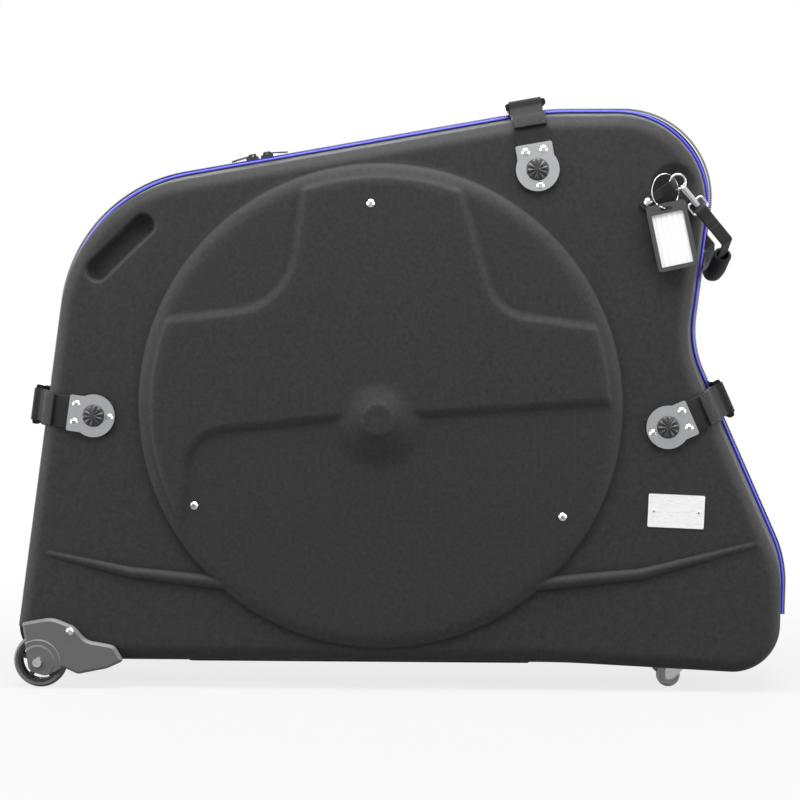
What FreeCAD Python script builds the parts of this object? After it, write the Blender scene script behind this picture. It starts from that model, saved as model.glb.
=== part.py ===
import FreeCAD, Part
import math
import os
from FreeCAD import Placement, Rotation, Vector

# A clamshell travel case for a bicycle. X runs along the case, the front half faces -Y, Z is up.
# The zip seam is the plane y = 0, the wheels stand on z = 0. Millimetres and degrees.

# Moulded shells
half_depth = 115.0
shell_wall = 5.0
rim_setback = 11.3
rim_step = 2.0
edge_round = 24.0
side_draft = 8.0
bottom_lift = 21.3
heel_lift = 6.0

# Seam outline, clockwise from the bottom left seen from the front: x, z, corner radius
seam_outline = [
    (-606.2, 25.5, 60.0),
    (-504.2, 757.5, 241.0),
    (219.3, 881.0, 461.0),
    (491.3, 880.5, 141.0),
    (445.3, 522.0, 155.0),
    (592.3, 189.0, 188.0),
    (588.3, 20.5, 85.0),
    (224.3, 25.5, 1300.0),
]
# Side of the outline that starts at each of these points
seam_sides = ["left", "top", "crown", "neck", "right", "heel", "foot", "bottom"]

# Wheel disc, raised band and hub cone on each face
disc_x = -28.2
disc_z = 430.5
disc_radius = 364.0
disc_raise = 10.0
disc_flank = 14.0
disc_edge_round = 9.0
band_raise = 5.0
band_flank = 12.0
hub_x = -29.2
hub_z = 412.0
hub_base_radius = 72.0
hub_top_radius = 26.0
hub_raise = 15.0
hub_edge_round = 10.0

# Raised band on the disc, clockwise: x, z, corner radius
band_outline = [
    (-142.2, 830.0, 0.0),
    (81.8, 830.0, 0.0),
    (157.3, 580.5, 57.0),
    (398.8, 547.0, 0.0),
    (398.8, 435.5, 0.0),
    (18.8, 409.5, 0.0),
    (-77.2, 407.0, 0.0),
    (-308.2, 382.5, 55.0),
    (-324.2, 230.0, 0.0),
    (-441.2, 230.0, 0.0),
    (-441.2, 562.0, 0.0),
    (-175.2, 592.0, 90.0),
]

# Two tapering ribs: x and z of their outer end, bend and inner end
rib_lines = [
    [(-531.2, 206.0), (-406.2, 177.5), (-241.2, 160.0)],
    [(537.8, 225.5), (364.3, 179.0), (190.8, 161.0)],
]
rib_radii = [5.5, 9.0, 11.3]
rib_sink = 4.0

# Hand recess and anchor dimple
recess_x = -420.2
recess_z = 670.5
recess_angle = 43.8
recess_length = 134.0
recess_width = 36.0
recess_flank = 5.0
recess_depth = 14.0
dimple_x = 411.3
dimple_z = 760.5
dimple_radius = 35.0
dimple_depth = 10.0

# Zip, piping and hinge strip
zip_left_end = 132.0
zip_right_end = 105.0
zip_gap = 0.2
coil_half_width = 4.8
coil_height = 7.0
tape_depth = 4.0
tape_thickness = 2.0
piping_radius = 2.6
piping_proud = 0.9
hinge_left = -328.2
hinge_right = 198.8
hinge_leaf_width = 46.0
hinge_leaf_thickness = 1.6

# Clearances
seat = 0.1
skin_gap = 0.3
running_gap = 0.4

# Closing straps: seam side, distance along it, setback of the plate from the seam line
strap_sites = [("left", 407.0, 88.9), ("top", 707.7, 91.6), ("right", 94.4, 85.8)]
strap_width = 50.0
strap_thickness = 2.4
strap_tail = 28.0
strap_leave_depth = 66.0
strap_leave_round = 26.0
plate_radius = 32.5
plate_tab_width = 55.0
plate_tab_reach = 39.0
plate_hole_radius = 17.0
plate_thickness = 1.5
plate_rivet_spacing = 27.2
plate_rivet_reach = 28.0
plate_rivet_tail = 24.4
stud_height = 6.0

# Side release buckles over the zip
buckle_width = 62.0
buckle_thickness = 11.5
buckle_lift = 7.6
buckle_half_length = 43.0
buckle_mouth = 8.0
buckle_wall = 2.4
buckle_bar = 3.6
buckle_window = 10.5
prong_length = 30.0
prong_width = 9.0
prong_gap = 1.3

# Rivets
rivet_head_radius = 6.0
rivet_head_height = 2.2
rivet_shank_radius = 2.5
rivet_washer_height = 1.2

# Luggage wheels in their guards
wheel_x = -548.7
wheel_radius = 41.0
wheel_width = 24.0
wheel_inset = 1.0
tyre_bore = 33.0
hub_spokes = 5
well_gap = 4.0
guard_wall = 4.0
guard_proud = 9.0
guard_plate = 6.0
guard_bevel = 4.0
axle_radius = 5.0
axle_head_radius = 9.0
axle_head_height = 5.0
guard_rivet_x = -499.2
guard_rivet_z = 88.0
guard_boss_radius = 36.0
guard_boss_height = 3.0

# Guard outline on the face, clockwise: x, z, corner radius
guard_outline = [
    (-566.2, 58.0, 16.0),
    (-573.7, 100.5, 4.0),
    (-527.2, 109.0, 45.0),
    (-493.2, 95.0, 25.0),
    (-475.2, 74.0, 25.0),
    (-432.2, 66.5, 16.0),
    (-418.2, 43.0, 5.0),
    (-443.2, 31.5, 30.0),
    (-488.2, 22.5, 12.0),
    (-511.2, 33.0, 14.0),
    (-536.2, 20.0, 14.0),
    (-562.2, 28.0, 13.0),
]

# Swivel casters
caster_x = 429.8
caster_y = -57.0
caster_trail = 18.0
caster_radius = 18.0
caster_width = 14.0
caster_pocket_radius = 38.0
caster_pocket_top = 52.0
caster_plate_radius = 24.0
caster_plate_thickness = 3.0
caster_rivet_circle = 18.0
caster_race_radius = 11.0
caster_race_height = 4.6
caster_pin_radius = 4.0
caster_pin_head = 7.0
caster_crown_thickness = 3.2
caster_leg_thickness = 2.5
caster_axle_radius = 3.0

# Rivets and hold-down straps on the disc
# Angle round the disc and distance inside its edge
disc_rivet_sites = [(92.3, 58.5), (208.1, 46.5), (329.2, 43.0)]
hold_strap_width = 25.0
hold_strap_thickness = 1.6
hold_strap_inward = 110.0
hold_strap_outward = 22.0

# Handle anchor, snap hook and handle
anchor_rivet_x = 373.3
anchor_rivet_z = 737.0
hook_x = 416.8
hook_z = 767.0
hook_ring_radius = 11.0
hook_wire_radius = 2.0
hook_barrel_radius = 5.5
hook_barrel_start = 12.0
hook_barrel_end = 34.0
hook_post_radius = 2.5
hook_gate_pivot = 22.0
hook_gate_end = 58.0
hook_gate_spare = 15.0
hook_gate_gap = 0.8
hook_gate_ball = 3.2
hook_ring_end = 342.0
eye_reach = 55.0
eye_half_width = 13.0
eye_wire_radius = 2.0
tab_width = 15.0
tab_layer = 2.0
tab_tail = 12.0
tab_eye_radius = 6.2
tab_eye_lift = 2.0
handle_strap_width = 19.0
handle_strap_thickness = 2.5
handle_insert = 16.0
grip_end_y = 92.0
grip_end_x = 486.8
grip_end_z = 660.0
grip_mid_x = 481.8
grip_mid_z = 634.0
grip_radius = 13.0
grip_bore = 10.6

# Luggage tag
tag_site = 0.46
tag_loop_reach = 15.0
tag_loop_lead = 1.5
tag_tilt = 12.0
tag_width = 60.0
tag_height = 100.0
tag_corner = 6.0
tag_thickness = 5.0
tag_stand = 9.0
tag_border = 6.0
tag_head = 15.0
tag_slot_width = 18.0
tag_slot_height = 5.0
tag_top_bar = 6.0
card_thickness = 0.5
window_thickness = 0.8
loop_thickness = 1.2
loop_width = 5.0

# Nameplate
nameplate_x = 417.8
nameplate_z = 274.5
nameplate_tilt = -2.4
nameplate_width = 84.0
nameplate_height = 50.0
nameplate_thickness = 1.2
nameplate_corner = 2.0
nameplate_rivet_reach = 33.5
nameplate_rivet_radius = 2.6

# Zip sliders and pullers on the straight top of the zip
slider_along = [278.0, 301.0]
slider_length = 20.0
slider_half_width = 7.2
slider_plate = 2.6
slider_skirt = 4.0
slider_bail_height = 5.0
slider_bail_thickness = 3.2
puller_pin_radius = 1.2
puller_bore = 1.7
puller_length = 34.0
puller_width = 11.0
puller_thickness = 2.0
puller_arm = 1.6
puller_hole_radius = 3.0
puller_droop = 7.0

Y_AXIS = Vector(0, 1, 0)
Z_AXIS = Vector(0, 0, 1)

face_y = -half_depth
inner_y = face_y + shell_wall
disc_y = face_y - disc_raise
band_y = disc_y - band_raise
wheel_z = wheel_radius
guard_y = face_y - guard_proud
well_front_y = guard_y + guard_plate
wheel_front_y = well_front_y + wheel_inset + well_gap
wheel_back_y = wheel_front_y + wheel_width
well_back_y = wheel_back_y + well_gap
guard_back_y = well_back_y + guard_wall
notch_y = guard_back_y + skin_gap
well_radius = wheel_radius + well_gap
notch_radius = well_radius + guard_wall + skin_gap
strap_y = face_y - skin_gap
plate_y = strap_y - strap_thickness - seat
tan_draft = math.tan(math.radians(side_draft))
cos_draft = math.cos(math.radians(side_draft))


def unit(a, b):
    """Direction from one outline point to the next."""
    length = math.hypot(b[0] - a[0], b[1] - a[1])
    return (b[0] - a[0]) / length, (b[1] - a[1]) / length


def inset_corners(corners, inset):
    """Moves every side of a clockwise outline inwards; radii follow as on a parallel curve."""
    moved = []
    for i, corner in enumerate(corners):
        d1 = unit(corners[i - 1], corner)
        d2 = unit(corner, corners[(i + 1) % len(corners)])
        cross = d1[0] * d2[1] - d1[1] * d2[0]
        ax = corner[0] + d1[1] * inset
        az = corner[1] - d1[0] * inset
        bx = corner[0] + d2[1] * inset
        bz = corner[1] - d2[0] * inset
        along = ((bx - ax) * d2[1] - (bz - az) * d2[0]) / cross
        radius = corner[2]
        if radius > 0.0:
            radius = max(radius + math.copysign(inset, cross), 0.5)
        moved.append((ax + d1[0] * along, az + d1[1] * along, radius))
    return moved


def path_edges(corners, closed, point):
    """Lines and tangent arcs through rounded corners; point turns two numbers into a vector."""
    count = len(corners)
    bends = []
    for i, corner in enumerate(corners):
        at_end = not closed and i in (0, count - 1)
        if at_end or corner[2] <= 0.0:
            spot = point(corner[0], corner[1])
            bends.append((spot, None, spot))
            continue
        d1 = unit(corners[i - 1], corner)
        d2 = unit(corner, corners[(i + 1) % count])
        turn = abs(math.atan2(d1[0] * d2[1] - d1[1] * d2[0], d1[0] * d2[0] + d1[1] * d2[1]))
        reach = corner[2] * math.tan(turn / 2)
        bis = math.hypot(d2[0] - d1[0], d2[1] - d1[1])
        sag = (corner[2] / math.cos(turn / 2) - corner[2]) / bis
        start = point(corner[0] - d1[0] * reach, corner[1] - d1[1] * reach)
        middle = point(corner[0] + (d2[0] - d1[0]) * sag, corner[1] + (d2[1] - d1[1]) * sag)
        end = point(corner[0] + d2[0] * reach, corner[1] + d2[1] * reach)
        bends.append((start, middle, end))
    edges = []
    for i, (start, middle, end) in enumerate(bends):
        if middle is not None:
            edges.append(Part.Arc(start, middle, end).toShape())
        if closed or i < count - 1:
            following = bends[(i + 1) % count][0]
            if end.distanceToPoint(following) > 1e-6:
                edges.append(Part.LineSegment(end, following).toShape())
    return edges


def outline_wire(corners, y):
    """Closed outline drawn on the plane at y."""
    return Part.Wire(path_edges(corners, True, lambda a, b: Vector(a, y, b)))


def prism(corners, y0, y1):
    """Outline pushed straight through from y0 to y1."""
    return Part.Face(outline_wire(corners, y0)).extrude(Vector(0, y1 - y0, 0))


def tapered(corners, y0, y1, inset):
    """Outline at y0 that narrows by inset towards y1."""
    return Part.makeLoft([outline_wire(corners, y0), outline_wire(inset_corners(corners, inset), y1)], True, True)


def rectangle(x0, z0, x1, z1, radius):
    """Clockwise rectangle with rounded corners."""
    return [(x0, z0, radius), (x0, z1, radius), (x1, z1, radius), (x1, z0, radius)]


def rod(x, z, radius, y0, y1):
    """Round bar along Y."""
    return Part.makeCylinder(radius, y1 - y0, Vector(x, y0, z), Y_AXIS)


def turned(x, z, profile):
    """Solid turned about a Y axis from a profile of radius, y and corner radius."""
    edges = path_edges(profile, True, lambda r, y: Vector(x + r, y, z))
    return Part.Face(Part.Wire(edges)).revolve(Vector(x, 0, z), Y_AXIS, 360)


def box(x0, y0, z0, x1, y1, z1):
    """Block between two corners."""
    return Part.makeBox(x1 - x0, y1 - y0, z1 - z0, Vector(x0, y0, z0))


def placed(shape, x, y, z, angle):
    """Copy turned about Y so that its own X points up by angle, then moved."""
    copy = shape.copy()
    copy.Placement = Placement(Vector(x, y, z), Rotation(Y_AXIS, -angle)).multiply(copy.Placement)
    return copy


def mirrored(shape):
    """The same piece on the other half."""
    return shape.mirror(Vector(0, 0, 0), Y_AXIS)


def group(shapes):
    return Part.makeCompound(shapes)


def ribbon(points, thickness, width, closed=False):
    """Flat band that follows points of across, y and bend radius; its width lies along local X."""
    half = thickness / 2
    sides = []
    for offset in (half, -half):
        if closed:
            side = inset_corners(points, offset)
        else:
            side = shifted_path(points, offset)
        sides.append(side)
    start = Vector(-width / 2, 0, 0)
    if closed:
        faces = [Part.Face(Part.Wire(path_edges(s, True, lambda a, b: Vector(0, b, a)))) for s in sides]
        ring = faces[1].cut(faces[0])
        solid = ring.extrude(Vector(width, 0, 0))
    else:
        loop = sides[0] + list(reversed(sides[1]))
        face = Part.Face(Part.Wire(path_edges(loop, True, lambda a, b: Vector(0, b, a))))
        solid = face.extrude(Vector(width, 0, 0))
    solid.translate(start)
    return solid


def shifted_path(points, offset):
    """Open path moved sideways; its end points stay square to the path."""
    moved = []
    last = len(points) - 1
    for i, p in enumerate(points):
        d1 = unit(points[i - 1], p) if i > 0 else unit(p, points[1])
        d2 = unit(p, points[i + 1]) if i < last else d1
        if i in (0, last):
            moved.append((p[0] + d1[1] * offset, p[1] - d1[0] * offset, 0.0))
            continue
        cross = d1[0] * d2[1] - d1[1] * d2[0]
        ax, ay = p[0] + d1[1] * offset, p[1] - d1[0] * offset
        bx, by = p[0] + d2[1] * offset, p[1] - d2[0] * offset
        along = ((bx - ax) * d2[1] - (by - ay) * d2[0]) / cross
        moved.append((ax + d1[0] * along, ay + d1[1] * along, p[2] + math.copysign(offset, cross * offset)))
    return moved


def side_site(side, along):
    """Point on a straight side of the seam outline and the angle of that side."""
    first = seam_sides.index(side)
    start = seam_outline[first]
    d = unit(start, seam_outline[first + 1])
    return start[0] + d[0] * along, start[1] + d[1] * along, math.degrees(math.atan2(d[1], d[0]))


def on_side(shape, side, along):
    """Local X along the seam side, local Y the depth, local Z out of the case."""
    x, z, angle = side_site(side, along)
    return placed(shape, x, 0, z, angle)


def face_corners():
    """Outline where the sides would meet the flat of the face."""
    corners = inset_corners(seam_outline, half_depth * tan_draft)
    for i, lift in ((0, bottom_lift), (7, bottom_lift), (6, heel_lift)):
        corners[i] = (corners[i][0], seam_outline[i][1] + lift, corners[i][2])
    return corners


def outline_at(depth, inset):
    """Shell outline at a depth behind the seam, moved inwards by inset."""
    share = depth / half_depth
    corners = []
    for a, b in zip(seam_outline, face_corners()):
        corners.append(tuple(p + (q - p) * share for p, q in zip(a, b)))
    return outline_wire(inset_corners(corners, inset), -depth)


def body_form(inset, steps):
    """Tapered half of the case with a rounded front edge."""
    radius = edge_round - inset
    centre = half_depth - inset - radius
    angles = [side_draft + (90.0 - side_draft) * k / steps for k in range(steps + 1)]
    sections = []
    for angle in angles:
        depth = centre + radius * math.sin(math.radians(angle))
        pull = (radius + inset) / cos_draft - radius * math.cos(math.radians(angle))
        sections.append(outline_at(depth, pull - (depth - centre) * tan_draft))
    wall = Part.makeLoft([outline_at(0.0, inset / cos_draft), sections[0]], True, True)
    cap = Part.makeLoft(sections, True, True)
    return wall.fuse(cap)


def disc_form(inset):
    """Round bulge over the bicycle wheel."""
    radius = disc_radius - inset
    top = disc_y + inset
    base = face_y + edge_round
    profile = [(0.0, base, 0.0), (radius, base, 0.0), (radius, face_y + inset, 0.0),
               (radius - disc_flank, top, disc_edge_round), (0.0, top, 0.0)]
    return turned(disc_x, disc_z, profile)


def band_form(inset):
    """Raised band across the disc, cut to the disc's round."""
    top = band_y + inset
    strip = tapered(inset_corners(band_outline, inset), face_y, top, band_flank)
    radius = disc_radius - disc_flank - inset
    profile = [(0.0, face_y, 0.0), (radius, face_y, 0.0), (radius, disc_y, 0.0),
               (radius - band_raise, top, 0.0), (0.0, top, 0.0)]
    return strip.common(turned(disc_x, disc_z, profile))


def hub_form(inset):
    """Cone over the end of the wheel hub."""
    top = disc_y - hub_raise + inset
    profile = [(0.0, face_y, 0.0), (hub_base_radius - inset, face_y, 0.0), (hub_base_radius - inset, disc_y, 0.0),
               (hub_top_radius, top, hub_edge_round), (0.0, top, 0.0)]
    return turned(hub_x, hub_z, profile)


def rib_form(line):
    """Bent, tapering half-round rib that runs from the rim of the case into the disc."""
    spots = [Vector(x, face_y + rib_sink, z) for x, z in line]
    balls = [Part.makeSphere(radius, spot) for radius, spot in zip(rib_radii, spots)]
    cones = []
    for i in (0, 1):
        run = spots[i + 1] - spots[i]
        cones.append(Part.makeCone(rib_radii[i], rib_radii[i + 1], run.Length, spots[i], run))
    return cones[0].fuse([cones[1]] + balls[:2])


def recess_corners(grow):
    """Round-ended slot of the hand recess, drawn about its own middle."""
    half_length = recess_length / 2 + grow
    half_width = recess_width / 2 + grow
    return rectangle(-half_length, -half_width, half_length, half_width, half_width - 0.5)


def recess_cut(inset):
    """Hand recess, wide at the face and narrower at its floor."""
    floor = face_y + recess_depth + inset
    over = face_y - disc_raise
    slope = recess_flank / recess_depth
    mouth = recess_corners(inset + slope * disc_raise)
    cut = tapered(mouth, over, floor, slope * (floor - over))
    return placed(cut, recess_x, 0, recess_z, recess_angle)


def dimple_cut(inset):
    """Round dish behind the handle anchor."""
    ball = (dimple_radius ** 2 + dimple_depth ** 2) / (2 * dimple_depth)
    return Part.makeSphere(ball + inset, Vector(dimple_x, face_y + dimple_depth - ball, dimple_z))


def notch_corners(grow):
    """Corner of the case that the wheel and its guard take up."""
    right = wheel_x + notch_radius + grow
    top = wheel_z + notch_radius + grow
    left = seam_outline[0][0] - notch_radius
    return [(left, -top, 0.0), (left, top, 0.0), (right, top, notch_radius + grow), (right, -top, 0.0)]


def notch_cut(inset):
    return prism(notch_corners(inset), face_y - notch_radius, notch_y + inset)


def caster_cut(inset):
    """Round pocket in the bottom for the swivel caster."""
    top = caster_pocket_top + inset
    return Part.makeCylinder(caster_pocket_radius + inset, top, Vector(caster_x, caster_y, 0), Z_AXIS)


def shell_form(inset):
    solid = body_form(inset, 4 if inset == 0.0 else 2)
    raised = [disc_form(inset), band_form(inset), hub_form(inset)]
    if inset == 0.0:
        raised += [rib_form(line) for line in rib_lines]
    solid = solid.fuse(raised)
    return solid.cut([recess_cut(inset), dimple_cut(inset), notch_cut(inset), caster_cut(inset)])


def strap_points():
    """Plate rivets of all straps: x, z."""
    points = []
    for side, along, setback in strap_sites:
        x, z, angle = side_site(side, along)
        spots = [(-plate_rivet_spacing / 2, plate_rivet_reach), (plate_rivet_spacing / 2, plate_rivet_reach),
                 (0.0, -plate_rivet_tail)]
        for across, out in spots:
            spot = placed(Part.Vertex(across, 0, out - setback), x, 0, z, angle)
            points.append((spot.X, spot.Z))
    return points


def disc_points():
    """Rivets of the hold-down straps: x, z, outer y."""
    points = []
    for i, (angle, inside) in enumerate(disc_rivet_sites):
        x = disc_x + (disc_radius - inside) * math.cos(math.radians(angle))
        z = disc_z + (disc_radius - inside) * math.sin(math.radians(angle))
        points.append((x, z, band_y if i == 0 else disc_y))
    return points


def caster_points():
    """Rivets of a caster plate: x, y."""
    points = []
    for k in range(4):
        angle = math.radians(45.0 + 90.0 * k)
        points.append((caster_x + caster_rivet_circle * math.cos(angle),
                       caster_y + caster_rivet_circle * math.sin(angle)))
    return points


def nameplate_points():
    angle = math.radians(nameplate_tilt)
    points = []
    for way in (-1.0, 1.0):
        points.append((nameplate_x + way * nameplate_rivet_reach * math.cos(angle),
                       nameplate_z + way * nameplate_rivet_reach * math.sin(angle)))
    return points


def shell(with_nameplate):
    """Moulded foam half with all its holes."""
    solid = shell_form(0.0).cut(shell_form(shell_wall))
    reach = disc_radius * 2
    rims = [box(-reach, -rim_setback, zip_left_end - rim_step, disc_x, half_depth, reach * 2),
            box(disc_x, -rim_setback, zip_right_end - rim_step, reach, half_depth, reach * 2),
            box(-reach, -zip_gap, -reach, reach, half_depth, reach * 2)]
    hole = rivet_shank_radius + skin_gap
    far = band_y - shell_wall
    cuts = rims
    for x, z in strap_points() + [(guard_rivet_x, guard_rivet_z), (anchor_rivet_x, anchor_rivet_z)]:
        cuts.append(rod(x, z, hole, far, inner_y + shell_wall))
    for x, z, y in disc_points():
        cuts.append(rod(x, z, hole, far, inner_y + shell_wall))
    if with_nameplate:
        for x, z in nameplate_points():
            cuts.append(rod(x, z, nameplate_rivet_radius / 2 + skin_gap, far, inner_y + shell_wall))
    for x, y in caster_points():
        cuts.append(Part.makeCylinder(hole, shell_wall * 4, Vector(x, y, caster_pocket_top - shell_wall), Z_AXIS))
    return solid.cut(cuts)


def zip_path(out):
    """Run of the zip round the case, a distance outside the seam outline."""
    corners = inset_corners(seam_outline, -out)
    low_left = unit(corners[0], corners[1])
    low_right = unit(corners[5], corners[6])
    start = (corners[0][0] + low_left[0] / low_left[1] * (zip_left_end - corners[0][1]), zip_left_end, 0.0)
    end = (corners[5][0] + low_right[0] / low_right[1] * (zip_right_end - corners[5][1]), zip_right_end, 0.0)
    return [start] + corners[1:6] + [end]


def zip_sweep(section):
    """Closed section of out and y, carried along the zip."""
    path = zip_path(0.0)
    d = unit(path[0], path[1])
    spine = Part.Wire(path_edges(path, False, lambda a, b: Vector(a, 0, b)))

    def point(out, y):
        return Vector(path[0][0] - d[1] * out, y, path[0][1] + d[0] * out)

    profile = Part.Wire(path_edges(section, True, point))
    return spine.makePipeShell([profile], True, False)


def zip_tape():
    """Front zip tape with its half of the coil."""
    low = -tape_depth
    under = low + tape_thickness
    fold = -coil_half_width - 1.3
    section = [(low, -rim_setback, 0.0), (under, -rim_setback, 0.0), (under, fold, 0.0),
               (coil_height / 2, -coil_half_width, 0.0), (coil_height, -coil_half_width, 0.0),
               (coil_height, -zip_gap, 0.0), (coil_height / 4, -zip_gap, 0.0),
               (coil_height / 4, -coil_half_width + 1.4, 0.0), (low, fold + 0.5, 0.0)]
    return zip_sweep(section)


def piping():
    """Round cord in the corner between shell rim and zip."""
    y = -rim_setback + skin_gap + piping_radius
    path = zip_path(0.0)
    d = unit(path[0], path[1])
    spine = Part.Wire(path_edges(path, False, lambda a, b: Vector(a, 0, b)))
    centre = Vector(path[0][0] - d[1] * piping_proud, y, path[0][1] + d[0] * piping_proud)
    ring = Part.Wire(Part.Circle(centre, Vector(d[0], 0, d[1]), piping_radius).toShape())
    return spine.makePipeShell([ring], True, False)


def hinge_leaf():
    """Half of the woven strip under the straight bottom seam."""
    seam_z = seam_outline[0][1]
    rise = bottom_lift / half_depth
    top = [(-zip_gap, seam_z + rise * zip_gap - seat), (-hinge_leaf_width, seam_z + rise * hinge_leaf_width - seat)]
    points = [Vector(hinge_left, y, z) for y, z in top]
    points += [Vector(hinge_left, y, z - hinge_leaf_thickness) for y, z in reversed(top)]
    face = Part.Face(Part.makePolygon(points + points[:1]))
    return face.extrude(Vector(hinge_right - hinge_left, 0, 0))


def strap(setback):
    """Webbing from under its plate, over the edge, up to the buckle's bar."""
    middle = skin_gap + strap_thickness / 2
    face_line = face_y - middle
    knee = face_line * tan_draft + middle / cos_draft
    leave = -strap_leave_depth * tan_draft + middle / cos_draft
    centre = buckle_lift + buckle_thickness / 2
    bar_y = -buckle_half_length + buckle_bar
    points = [(-setback - strap_tail, face_line, 0.0), (knee, face_line, edge_round + middle),
              (leave, -strap_leave_depth, strap_leave_round), (buckle_lift - 3.5, bar_y + 0.5, 7.0),
              (centre + 2.0, bar_y + buckle_window * 0.72, 0.0)]
    body = ribbon(points, strap_thickness, strap_width)
    holes = [(-plate_rivet_spacing / 2, plate_rivet_reach), (plate_rivet_spacing / 2, plate_rivet_reach),
             (0.0, -plate_rivet_tail)]
    cuts = [rod(a, b - setback, rivet_shank_radius + skin_gap, plate_y, face_y) for a, b in holes]
    return body.cut(cuts)


def strap_plate(setback):
    """Steel plate with a round end, a square tab and a hole for the stud."""
    y0 = plate_y - plate_thickness
    half = plate_tab_width / 2
    tab = prism(rectangle(-half, -setback, half, plate_tab_reach - setback, 3.0), y0, plate_y)
    plate = rod(0, -setback, plate_radius, y0, plate_y).fuse(tab)
    cuts = [rod(0, -setback, plate_hole_radius, y0 - 1, plate_y + 1)]
    for a, b in ((-plate_rivet_spacing / 2, plate_rivet_reach), (plate_rivet_spacing / 2, plate_rivet_reach),
                 (0.0, -plate_rivet_tail)):
        cuts.append(rod(a, b - setback, rivet_shank_radius + skin_gap, y0 - 1, plate_y + 1))
    return plate.cut(cuts)


def strap_stud(setback):
    """Ribbed rubber button in the hole of the plate."""
    radius = plate_hole_radius - skin_gap
    top = plate_y - stud_height
    profile = [(0.0, plate_y, 0.0), (radius, plate_y, 0.0), (radius, plate_y - stud_height * 0.4, 0.0),
               (radius * 0.72, plate_y - stud_height * 0.55, 0.0), (radius * 0.66, plate_y - stud_height * 0.85, 0.0),
               (radius * 0.36, plate_y - stud_height * 0.85, 0.0), (radius * 0.3, top, 0.0), (0.0, top, 0.0)]
    return turned(0, -setback, profile)


def buckle_block(y0, y1, half):
    """Rounded block of buckle width, seen along its depth."""
    z0 = buckle_lift
    return prism(rectangle(-half, z0, half, z0 + buckle_thickness, 4.0), y0, y1)


def strap_window():
    half = strap_width / 2 + 1.0
    y0 = -buckle_half_length + buckle_bar
    return box(-half, y0, buckle_lift - 1, half, y0 + buckle_window, buckle_lift + buckle_thickness + 1)


def prong_spans():
    """Middle prong and two side arms: from and to across the buckle."""
    inner = buckle_width / 2 - buckle_wall - prong_gap
    return [(-prong_width / 2, prong_width / 2), (-inner, prong_width - inner), (inner - prong_width, inner)]


def buckle_socket():
    """Female half: strap bar, hollow mouth and two side windows."""
    half = buckle_width / 2
    body = buckle_block(-buckle_half_length, buckle_mouth, half)
    room = half - buckle_wall
    z0 = buckle_lift + buckle_wall
    z1 = buckle_lift + buckle_thickness - buckle_wall
    back = buckle_mouth - prong_length - prong_gap
    cavity = box(-room, back, z0, room, buckle_mouth + 1, z1)
    windows = box(-half - 1, back + prong_length * 0.35, z0 + 0.5, half + 1, back + prong_length * 0.75, z1 - 0.5)
    return body.cut([strap_window(), cavity, windows])


def buckle_plug():
    """Male half: strap bar, middle prong and two side arms."""
    gap = running_gap
    start = buckle_mouth + gap
    body = buckle_block(start, buckle_half_length, buckle_width / 2)
    window = mirrored(strap_window())
    z0 = buckle_lift + buckle_wall + prong_gap
    z1 = buckle_lift + buckle_thickness - buckle_wall - prong_gap
    tip = buckle_mouth - prong_length
    prongs = [box(a, tip, z0, b, start + 1, z1) for a, b in prong_spans()]
    return body.cut(window).fuse(prongs)


def rivet(x, z, outer_y, inner_y_side):
    """Rivet through the shell: bevelled head outside, shank, washer inside."""
    head_y = outer_y - seat
    tail_y = inner_y_side + seat
    head = Part.makeCone(rivet_head_radius, rivet_head_radius * 0.55, rivet_head_height, Vector(x, head_y, z), -Y_AXIS)
    shank = rod(x, z, rivet_shank_radius, head_y - 0.5, tail_y + 0.5)
    washer = rod(x, z, rivet_head_radius, tail_y, tail_y + rivet_washer_height)
    return head.fuse([shank, washer])


def caster_rivet(x, y):
    low = caster_pocket_top - skin_gap - caster_plate_thickness - seat
    high = caster_pocket_top + shell_wall + seat
    head = Part.makeCylinder(rivet_head_radius * 0.7, 1.6, Vector(x, y, low - 1.6), Z_AXIS)
    shank = Part.makeCylinder(rivet_shank_radius, high - low + 1.0, Vector(x, y, low - 0.5), Z_AXIS)
    washer = Part.makeCylinder(rivet_head_radius, rivet_washer_height, Vector(x, y, high), Z_AXIS)
    return head.fuse([shank, washer])


def rivets():
    """All rivets of one half."""
    front = plate_y - plate_thickness
    found = [rivet(x, z, front, inner_y) for x, z in strap_points()]
    found.append(rivet(guard_rivet_x, guard_rivet_z, guard_y, inner_y))
    found.append(rivet(anchor_rivet_x, anchor_rivet_z, face_y - skin_gap - 2 * tab_layer, inner_y))
    for x, z, y in disc_points():
        found.append(rivet(x, z, y, y + shell_wall + skin_gap + hold_strap_thickness))
    found += [caster_rivet(x, y) for x, y in caster_points()]
    return group(found)


def hold_straps():
    """Flat hold-down straps inside the disc, one at each disc rivet."""
    straps = []
    for (x, z, y), (angle, inside) in zip(disc_points(), disc_rivet_sites):
        y0 = y + shell_wall + skin_gap
        half = hold_strap_width / 2
        flat = prism(rectangle(-hold_strap_inward, -half, hold_strap_outward, half, 4.0), y0, y0 + hold_strap_thickness)
        flat = flat.cut(rod(0, 0, rivet_shank_radius + skin_gap, y0 - 1, y0 + hold_strap_thickness + 1))
        straps.append(placed(flat, x, 0, z, angle))
    return group(straps)


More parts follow.
